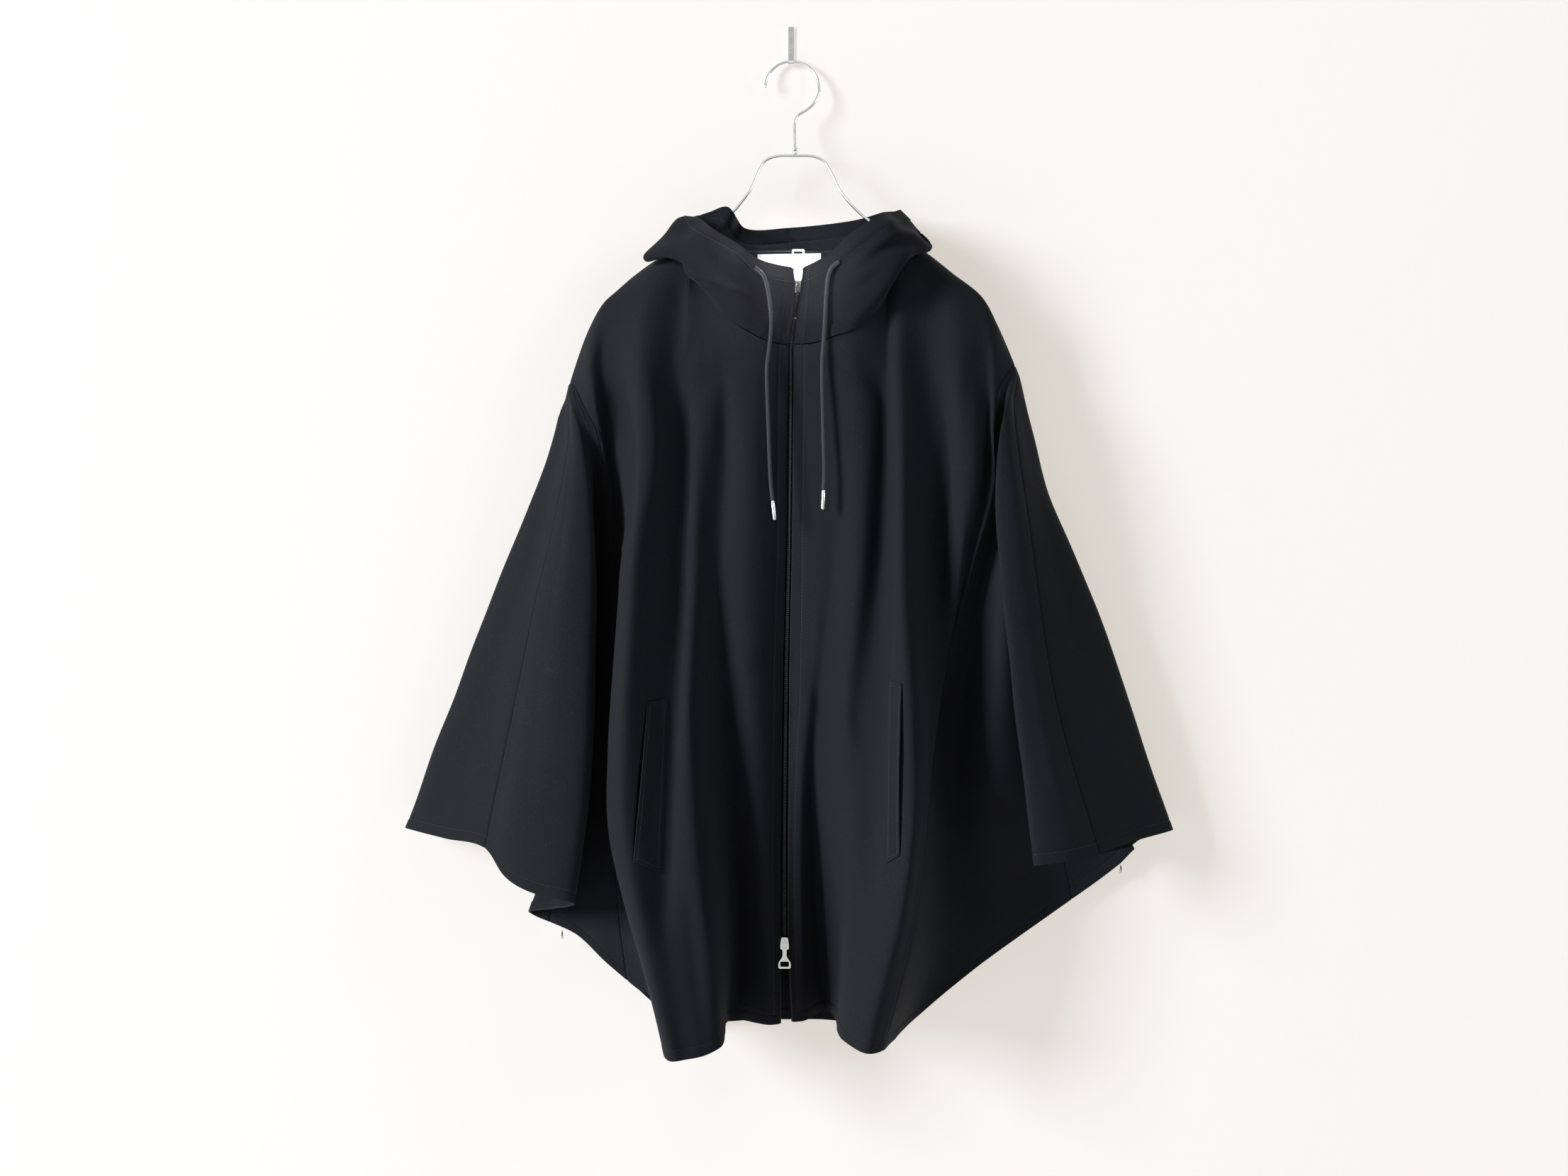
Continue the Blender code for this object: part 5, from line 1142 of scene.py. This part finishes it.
# %% Tapes and teeth
TAPE_THICK = 0.8
TAPE_WIDE = 9.0
TAPE_SHOWS = 2.8
CHAIN_WIDE = 3.8
TOP_SLIDER_DROP = 253.5
BOTTOM_SLIDER_DROP = 959.5
SLIDER_LONG = 12.5

TOOTH_OFF = 0.75  # how far each side's teeth stand from the middle
TOOTH_SHIFT = 1.0  # and how far the right side's stand further down

zip_sides = {}  # each side's edge, the line next to it and the way out, from the rim to the hem
for side, edge, near in (("right", 0, HALF), ("left", -1, -1 - HALF)):
    zip_sides[side] = [np.vstack(both) for both in ((hood[::-1, edge], cloth[:, edge]),
                                                    (hood[::-1, near], cloth[:, near]),
                                                    (-hood_ways[::-1, edge], cloth_ways[:, edge]))]
(right_edge, _, right_way), (left_edge, _, left_way) = zip_sides.values()


def by_height(line, heights):
    """Points of a line that falls all the way, at these heights."""
    return between(heights, line[::-1, 2], line[::-1])


behind_edge = CLOTH / 2 + SEAM_GAP + TAPE_THICK / 2
heights = np.linspace(right_edge[0, 2], min(right_edge[-1, 2], left_edge[-1, 2]) + 3, 150)
middle_line = (by_height(right_edge, heights) + by_height(left_edge, heights)) / 2
middle_way = unit(by_height(np.column_stack([right_way[:, :2] + left_way[:, :2], right_edge[:, 2]]), heights)
                  * (1, 1, 0))
middle_line = middle_line - middle_way * behind_edge
gap = np.linalg.norm(right_edge - by_height(left_edge, right_edge[:, 2]), axis=1, keepdims=True)
room = np.clip(gap / 2 - CHAIN_WIDE / 2 - SEAM_GAP, 0.0, TAPE_SHOWS)
for side, (edge, near, way) in zip_sides.items():
    away = unit(near - edge)
    start = edge - away * room
    grid = np.stack([start, edge, edge + away * TAPE_WIDE * 0.5, edge + away * TAPE_WIDE], axis=1)
    grid -= unit(way)[:, None] * behind_edge
    shell(f"zip_tape_{side}_woven", grid, np.repeat(unit(way)[:, None], 4, axis=1), TAPE_THICK, (BLACK_TAPE,),
          f"zip_tape_{side}")

TOOTH = repeat_tree("row of teeth", True, BLACK_TEETH)
top = place(0, TOP_SLIDER_DROP + SLIDER_LONG / 2, 95)[2]
bottom = place(0, BOTTOM_SLIDER_DROP - SLIDER_LONG / 2, 62)[2]
run = middle_line[(middle_line[:, 2] < top) & (middle_line[:, 2] > bottom)]
left_row, right_row = run - (TOOTH_OFF, 0, 0), run + (TOOTH_OFF, 0, 0)
right_row = at_lengths(right_row, np.linspace(TOOTH_SHIFT, walk(right_row)[-1], 150))
repeated("zip_teeth", (left_row, right_row), TOOTH, "tape", "zip_chain",
         pitch=2.0, wide=2.1, deep=1.9, long=1.15)

# %% [markdown]
# ## Pieces that lie on the cloth
# The pocket welts, the blank neck label and the strips that close the sides are found by looking
# from the eye through each point of the front view to where the line of sight meets the cloth.
# That keeps them on the cloth from every side, and not only from the front.


# %% Lines of sight
def seen_on(tree, across, drop, deepest=False):
    """Where the line of sight through this point of the front view meets a surface, and the way out."""
    eye = np.array((EYE_ACROSS, -EYE_BACK, -EYE_DROP))
    aim = unit(place(across, drop, DRAWN_AT) - eye)
    spot, way, _, _ = tree.ray_cast(Vector(eye), Vector(aim))
    further = tree.ray_cast(spot + Vector(aim), Vector(aim)) if deepest else (None,)
    while further[0] is not None:
        spot, way = further[:2]
        further = tree.ray_cast(spot + Vector(aim), Vector(aim))
    way = np.array(way)
    return np.array(spot), way if way @ aim < 0 else -way


def patch_grid(corners, tree, rows, columns):
    """Points on the cloth between four corners of the front view, and the ways out."""
    first_top, first_bottom, last_top, last_bottom = (np.array(corner, float) for corner in corners)
    grid, ways = np.zeros((2, rows + 1, columns + 1, 3))
    for row, column in np.ndindex(rows + 1, columns + 1):
        first = first_top + (first_bottom - first_top) * row / rows
        end = last_top + (last_bottom - last_top) * row / rows
        grid[row, column], ways[row, column] = seen_on(tree, *(first + (end - first) * column / columns))
    return grid, unit(ways + unit(ways.mean(axis=(0, 1))))


def face_tree(node, side):
    """The outer (1) or the inner (-1) face of a panel."""
    part, way, _ = panels[node]
    return grid_tree(part + way * (side * CLOTH / 2))


def inset(grid, ways, thick, ends):
    """Lines for stitches, one step in from the edges of a patch."""
    raised = grid + ways * (thick / 2 - STITCH_SINK)
    return [raised[1:-1, 1], raised[1:-1, -2], *(raised[row, 1:-1] for row in ends)]


# %% Pocket welts and label
WELT_THICK = 1.5
WELT_LIFT = 0.5
SHADE_STRIP_OPEN = 2.6  # how far the near-black strip of painted shade in a pocket's mouth shows beside its welt
SHADE_STRIP_LIFT = 0.6
SHADE_STRIP_THICK = 0.3
LABEL_THICK = 0.5
LABEL_LIFT = 0.5
STITCH_SINK = 0.05
WELT_ROWS = 44
LEFT_WELT = ((-153, 705), (-168, 873), (-132, 701), (-139, 885))
RIGHT_WELT = ((117, 685), (115, 867), (104, 683), (101.5, 875))
LABEL = ((-36, 231), (-36, 272), (31, 230), (31, 271))

welt_rows = []
edge_in = np.array([0.55, 0.12, 0, 0, 0, 0, 0, 0.12, 0.55])[None, :, None]
gape = np.sin(np.pi * np.arange(WELT_ROWS + 1) / WELT_ROWS)[:, None, None] ** 0.8
lip = np.array([1.7, 1.2, 0.5, 0.1, 0, 0, 0, 0, 0])[None, :, None] * gape
reach = np.array([-1.5, 0.6, SHADE_STRIP_OPEN])[None, :, None] * (0.15 + 0.85 * gape)
for side, corners in (("left", LEFT_WELT), ("right", RIGHT_WELT)):
    grid, ways = patch_grid(corners, face_tree("front_" + side, 1), WELT_ROWS, 8)
    grid = grid + ways * (WELT_THICK / 2 + WELT_LIFT + lip) - ways * edge_in
    welt = shell(f"pocket_welt_{side}_cloth", grid, ways, WELT_THICK, (BLACK_KNIT,), f"pocket_welt_{side}")
    measured(grid)
    # Beside each welt's slit a thin near-black strip is painted shade, standing for the shade inside the
    # gaping pocket.
    outward = unit(grid[:, 0] - grid[:, 1])[:, None]
    sink = WELT_THICK / 2 + WELT_LIFT + lip[:, :1] - SHADE_STRIP_LIFT
    shade_strip = grid[:, :1] - ways[:, :1] * sink + outward * reach
    shell(f"pocket_painted_shade_{side}", shade_strip, ways[:, :3], SHADE_STRIP_THICK, (POCKET_PAINTED_SHADE,), None)
    welt_rows += inset(grid, ways, WELT_THICK, (1, -2))
repeated("welt_stitching", welt_rows, STITCH, "cloth", pitch=2.7, wide=0.5, deep=0.28, long=2.1)

grid, ways = patch_grid(LABEL, face_tree("back", -1), 14, 24)
grid = grid + ways * (LABEL_THICK / 2 + LABEL_LIFT)
label = shell("label_satin", grid, ways, LABEL_THICK, (LABEL_SATIN,), "label")
measured(grid)
repeated("label_stitching", inset(grid, ways, LABEL_THICK, (-2,)), STITCH, "tape",
         pitch=2.2, wide=0.3, deep=0.25, long=1.6)

# %% Side zips
LEFT_SIDE_ZIP = ((-239.5, 929), (-241, 899), (-237.5, 854), (-230, 753), (-218, 641), (-207, 560))
RIGHT_SIDE_ZIP = ((343.5, 860), (336, 841), (315, 790), (291, 724), (270, 650), (249, 580))
SIDE_ZIP_THICK = 1.2
SIDE_ZIP_CLEAR = 1.5
SIDE_ZIP_END = 3.5  # the first row stands this much further out, past the sleeve's hem
for side, path, outward in (("right", RIGHT_SIDE_ZIP, 1.0), ("left", LEFT_SIDE_ZIP, -1.0)):
    near_tree, far_tree = (grid_tree(cloth[:, between_guides(side, *names)]) for names in
                           (("side seam", "sleeve under"), ("sleeve behind", "back fold")))
    strip = []
    for across, drop, _ in smooth([(*spot, 0) for spot in path], 8):
        near, _ = seen_on(near_tree, across, drop, deepest=True)
        far, _ = seen_on(far_tree, across, drop)
        toward = unit(far - near)
        strip.append(np.linspace(near + toward * SIDE_ZIP_CLEAR, far - toward * SIDE_ZIP_CLEAR, 7))
    grid = np.array(strip)
    grid[0] += unit(grid[0] - grid[1]) * SIDE_ZIP_END
    flat = np.broadcast_to(np.array((outward, 0.0, 0.0)), grid.shape).copy()
    shell(f"side_zip_{side}_tape", grid, flat, SIDE_ZIP_THICK, (BLACK_TAPE,), f"side_zip_{side}")
    teeth_line = grid[:, 3] + flat[:, 3] * (SIDE_ZIP_THICK / 2 + 0.3)
    repeated(f"side_teeth_{side}", (teeth_line,), TOOTH, "tape", pitch=2.0, wide=1.2, deep=3.2, long=1.1)

# %% [markdown]
# ## Hanger and hook
# The hanger is one bent wire: it rises in two curves from under the shoulders to a round hook,
# which turns in a small ferrule. The two arms and the bar are hidden by the cloth but are there.
# A polished wire is only as good as its curve, so the wires are swept again with more points
# than the solids have. The slim steel strip on the wall carries it all.

# %% Wires
WIRE = 2.8
HOOK_WIRE = 3.0
HANGER_LEAN = 0.2565
HOOK_SEAT = 5.1
HANGER_BEFORE_SEAM = 1.0
ARM_SINK = 3.0
ARM_BELOW = CLOTH / 2 + SEAM_GAP + WIRE / 2 + 1.0
HOOK_CENTRE = (0.6, 54.2)
HOOK_ACROSS, HOOK_TALL = 28.3, 27.3
HOOK_TOP_DROP = HOOK_CENTRE[1] - HOOK_TALL
HOOK_NECK = ((28.8, 60.9), (23.5, 71.4), (15.3, 78.9), (7.8, 83.4), (3.9, 90.2), (3.3, 100.7), (3.6, 116.0))
FERRULE_TOP, FERRULE_WIDE, FERRULE_ACROSS = 118.6, 5.0, 3.65
ARM_NECK_DROP = 126.8
RIGHT_ARM = ((3.7, 126.8), (19, 126.8), (28.8, 129.2), (34.8, 132.9), (39.3, 139.7), (44.5, 149.4),
             (49.8, 160.7), (56.5, 170.4), (64.8, 180.2), (74.5, 189.4), (86, 198.6))
LEFT_ARM = ((-11.8, 126.8), (-21.5, 128.8), (-28.3, 132.5), (-32.8, 138.9), (-38, 150.2), (-43.7, 162.9),
            (-50.8, 172.7), (-61.3, 185.4), (-82, 202.4))
RIGHT_TIP = ((199.5, 284), (200.5, 289.5), (196.5, 295), (189, 297), (180, 297))
LEFT_TIP = ((-196.5, 288.5), (-197.5, 294), (-193.5, 299.5), (-186, 301.5), (-177, 301.5))


def lean(across, drop):
    return place(across, drop, HOOK_SEAT + HANGER_LEAN * (drop - HOOK_TOP_DROP))


hook = [(HOOK_CENTRE[0] + HOOK_ACROSS * math.cos(turn), HOOK_CENTRE[1] - HOOK_TALL * math.sin(turn))
        for turn in np.linspace(math.pi, 0, 17)]
hook_path = smooth([lean(*spot) for spot in (*hook, *HOOK_NECK)], 6)
tip_out = unit(hook_path[0] - hook_path[1])
hook_path = np.vstack([hook_path[0] + tip_out * 0.5, hook_path[0] + tip_out * 0.2, hook_path])
hook_widths = np.full(len(hook_path), HOOK_WIRE)
hook_widths[:2] = (HOOK_WIRE * 0.55, HOOK_WIRE * 0.88)
tube("hanger_hook_wire", hook_path, hook_widths, CHROME, "hanger_hook", 20)
foot = ARM_NECK_DROP - WIRE / 2 - SEAM_GAP
collar = ((FERRULE_TOP - 1.4, 0.66), (FERRULE_TOP - 0.9, 0.9), (FERRULE_TOP, 1.0), (FERRULE_TOP + 1.3, 1.0),
          (FERRULE_TOP + 1.7, 0.86), (FERRULE_TOP + 2.3, 0.86), (FERRULE_TOP + 2.7, 1.0), (foot - 0.6, 1.0),
          (foot, 0.82))
tube("hanger_ferrule", [lean(FERRULE_ACROSS, drop) for drop, _ in collar],
     [FERRULE_WIDE * wide for _, wide in collar], CHROME, None, 24)


def under_shoulder(side, first_name, last_name):
    """The wire's line under the shoulder seam, from the neck outwards, at the guides and halfway between."""
    line = shoulder_line[between_guides(side, first_name, last_name)][::HALF]
    below = unit(np.cross(unit(line[-1] - line[0]), (0, 1, 0)))
    below = below * -np.sign(below[2])
    line = line if side == "right" else line[::-1]
    sink = np.linspace(ARM_SINK, 0, len(line))[:, None]
    return (line + below * (ARM_BELOW + sink) - np.array((0, HANGER_BEFORE_SEAM, 0)))[:-1]


right_line = under_shoulder("right", "crest", "arm valley")
left_line = under_shoulder("left", "upper valley", "arm valley")
arms = [lean(*spot) for spot in RIGHT_ARM] + list(right_line)
arms += [place(across, drop, 2 - right_line[-1][1]) for across, drop in RIGHT_TIP]
arms += [place(across, drop, 2 - left_line[-1][1]) for across, drop in reversed(LEFT_TIP)]
arms += list(left_line[::-1]) + [lean(*spot) for spot in reversed(LEFT_ARM)]
arms_path = smooth([*arms, arms[0]], 6)[:-1]
tube("hanger_arms_wire", arms_path, WIRE, CHROME, "hanger_arms", 14, closed=True)
print("hanger", round(float(np.ptp(arms_path[:, 0]))), "mm wide")

# %% Metal parts of the solid model
METALS = dict.fromkeys(("slider_top", "slider_bottom", "side_slider_left", "side_slider_right", "pull_top",
                        "pull_bottom", "side_pull_left", "side_pull_right"), NICKEL)
for node, metal in {**METALS, "wall_hook": STEEL}.items():
    for metal_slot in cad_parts[node].material_slots:
        metal_slot.material = metal

# %% [markdown]
# ## What each sheet was cut from
# The width and length of each cloth piece's flat cut, and how much cloth is in it, are measured on
# the drawn panels before the seams are rolled, because this knit hangs without stretching. The
# sizes are not kept.

# %% [markdown]
# ## The stage and the light
# A plain pale wall close behind, a pale floor well below, and soft light from the left, which
# leaves a soft shadow on the wall. The wall glows a little by itself, so that it can be white while
# the black knit is lit enough to show its folds. It is seen from its front only, so that the
# garment's back can be looked at too, and it doesn't stop light from behind.


# %% Wall and floor
FLOOR = -2.0  # metres below the wall hook
ROOM = 6.0  # metres each way
WALL_TOP = 3.5
WALL_BACK = 0.0006  # just behind the wall hook's plate


def backdrop(name, low, high, colour, glow=(0.0, 0.0, 0.0), one_sided=False):
    """A sheet as wide as the room, between a low or near edge and a high or far one."""
    data = bpy.data.meshes.new(name)
    corners = [(-ROOM, *low), (ROOM, *low), (ROOM, *high), (-ROOM, *high)]
    data.from_pydata(corners, [], [(0, 1, 2, 3)])
    finish = Finish(name, Specular_IOR_Level=0.2, Emission_Color=(*glow, 1.0), Emission_Strength=1.0)
    grain = finish.noise(60.0)
    finish.paint(grain, colour, [value * 0.985 for value in colour], grain * 0.1 + 0.82)
    if one_sided:
        back = finish.node("ShaderNodeNewGeometry", {}, {}, output="Backfacing")
        clear = finish.node("ShaderNodeBsdfTransparent", {}, {})
        front = Field(finish, finish.shader.outputs[0])
        either = finish.node("ShaderNodeMixShader", {}, {0: back, 1: front, 2: clear})
        finish.tree.links.new(either.socket, finish.tree.nodes["Material Output"].inputs["Surface"])
    data.materials.append(finish.material)
    piece = bpy.data.objects.new(name, data)
    bpy.context.scene.collection.objects.link(piece)
    return piece


wall = backdrop("pale_wall", (WALL_BACK, FLOOR), (WALL_BACK, WALL_TOP), (0.27, 0.287, 0.31),
                glow=(0.60, 0.55, 0.485), one_sided=True)
wall.visible_shadow = False
backdrop("pale_floor", (-ROOM, FLOOR), (ROOM, FLOOR), (0.80, 0.79, 0.78))


# %% Light
def soft_light(name, place_at, aim_at, size, watts, colour, spread=180):
    data = bpy.data.lights.new(name, "AREA")
    data.shape = "RECTANGLE"
    data.size, data.size_y = size
    data.energy = watts
    data.spread = math.radians(spread)
    data.color = colour
    lamp = bpy.data.objects.new(name, data)
    lamp.location = place_at
    lamp.rotation_euler = (Vector(aim_at) - Vector(place_at)).to_track_quat("-Z", "Y").to_euler()
    bpy.context.scene.collection.objects.link(lamp)


soft_light("window", (-9.0, -6.0, 2.1), (0.0, 0.0, -0.55), (2.85, 4.2), 2150, (0.93, 0.97, 1.0))
soft_light("room_right", (3.6, -2.6, 1.2), (0.0, 0.0, -0.55), (1.5, 1.8), 48, (0.90, 0.96, 1.0))
soft_light("room_front", (-0.3, -3.0, 2.0), (0.0, 0.0, -0.4), (1.4, 1.0), 9, (0.97, 0.98, 1.0))
soft_light("room_back", (1.2, 2.6, 0.6), (0.0, 0.0, -0.6), (2.4, 2.0), 40, (0.97, 0.98, 1.0))
soft_light("neck_patch", (-0.35, -2.2, 0.62), (0.0, -0.04, -0.27), (0.1, 0.1), 0.15, (1.0, 0.985, 0.96),
           spread=3.6)
ROOM_LIGHT = 0.05
ROOM_IN_METAL = 0.4  # what polished metal reflects: the bright room
world = bpy.data.worlds.new("room")
world.use_nodes = True
tree = world.node_tree
background = tree.nodes["Background"]
background.inputs["Color"].default_value = (0.98, 0.99, 1.0, 1.0)
ray = tree.nodes.new("ShaderNodeLightPath")
level = tree.nodes.new("ShaderNodeMapRange")
level.inputs["To Min"].default_value = ROOM_LIGHT
level.inputs["To Max"].default_value = ROOM_IN_METAL
tree.links.new(ray.outputs["Is Glossy Ray"], level.inputs["Value"])
tree.links.new(level.outputs["Result"], background.inputs["Strength"])
bpy.context.scene.world = world
bpy.context.scene.view_settings.view_transform = "Standard"
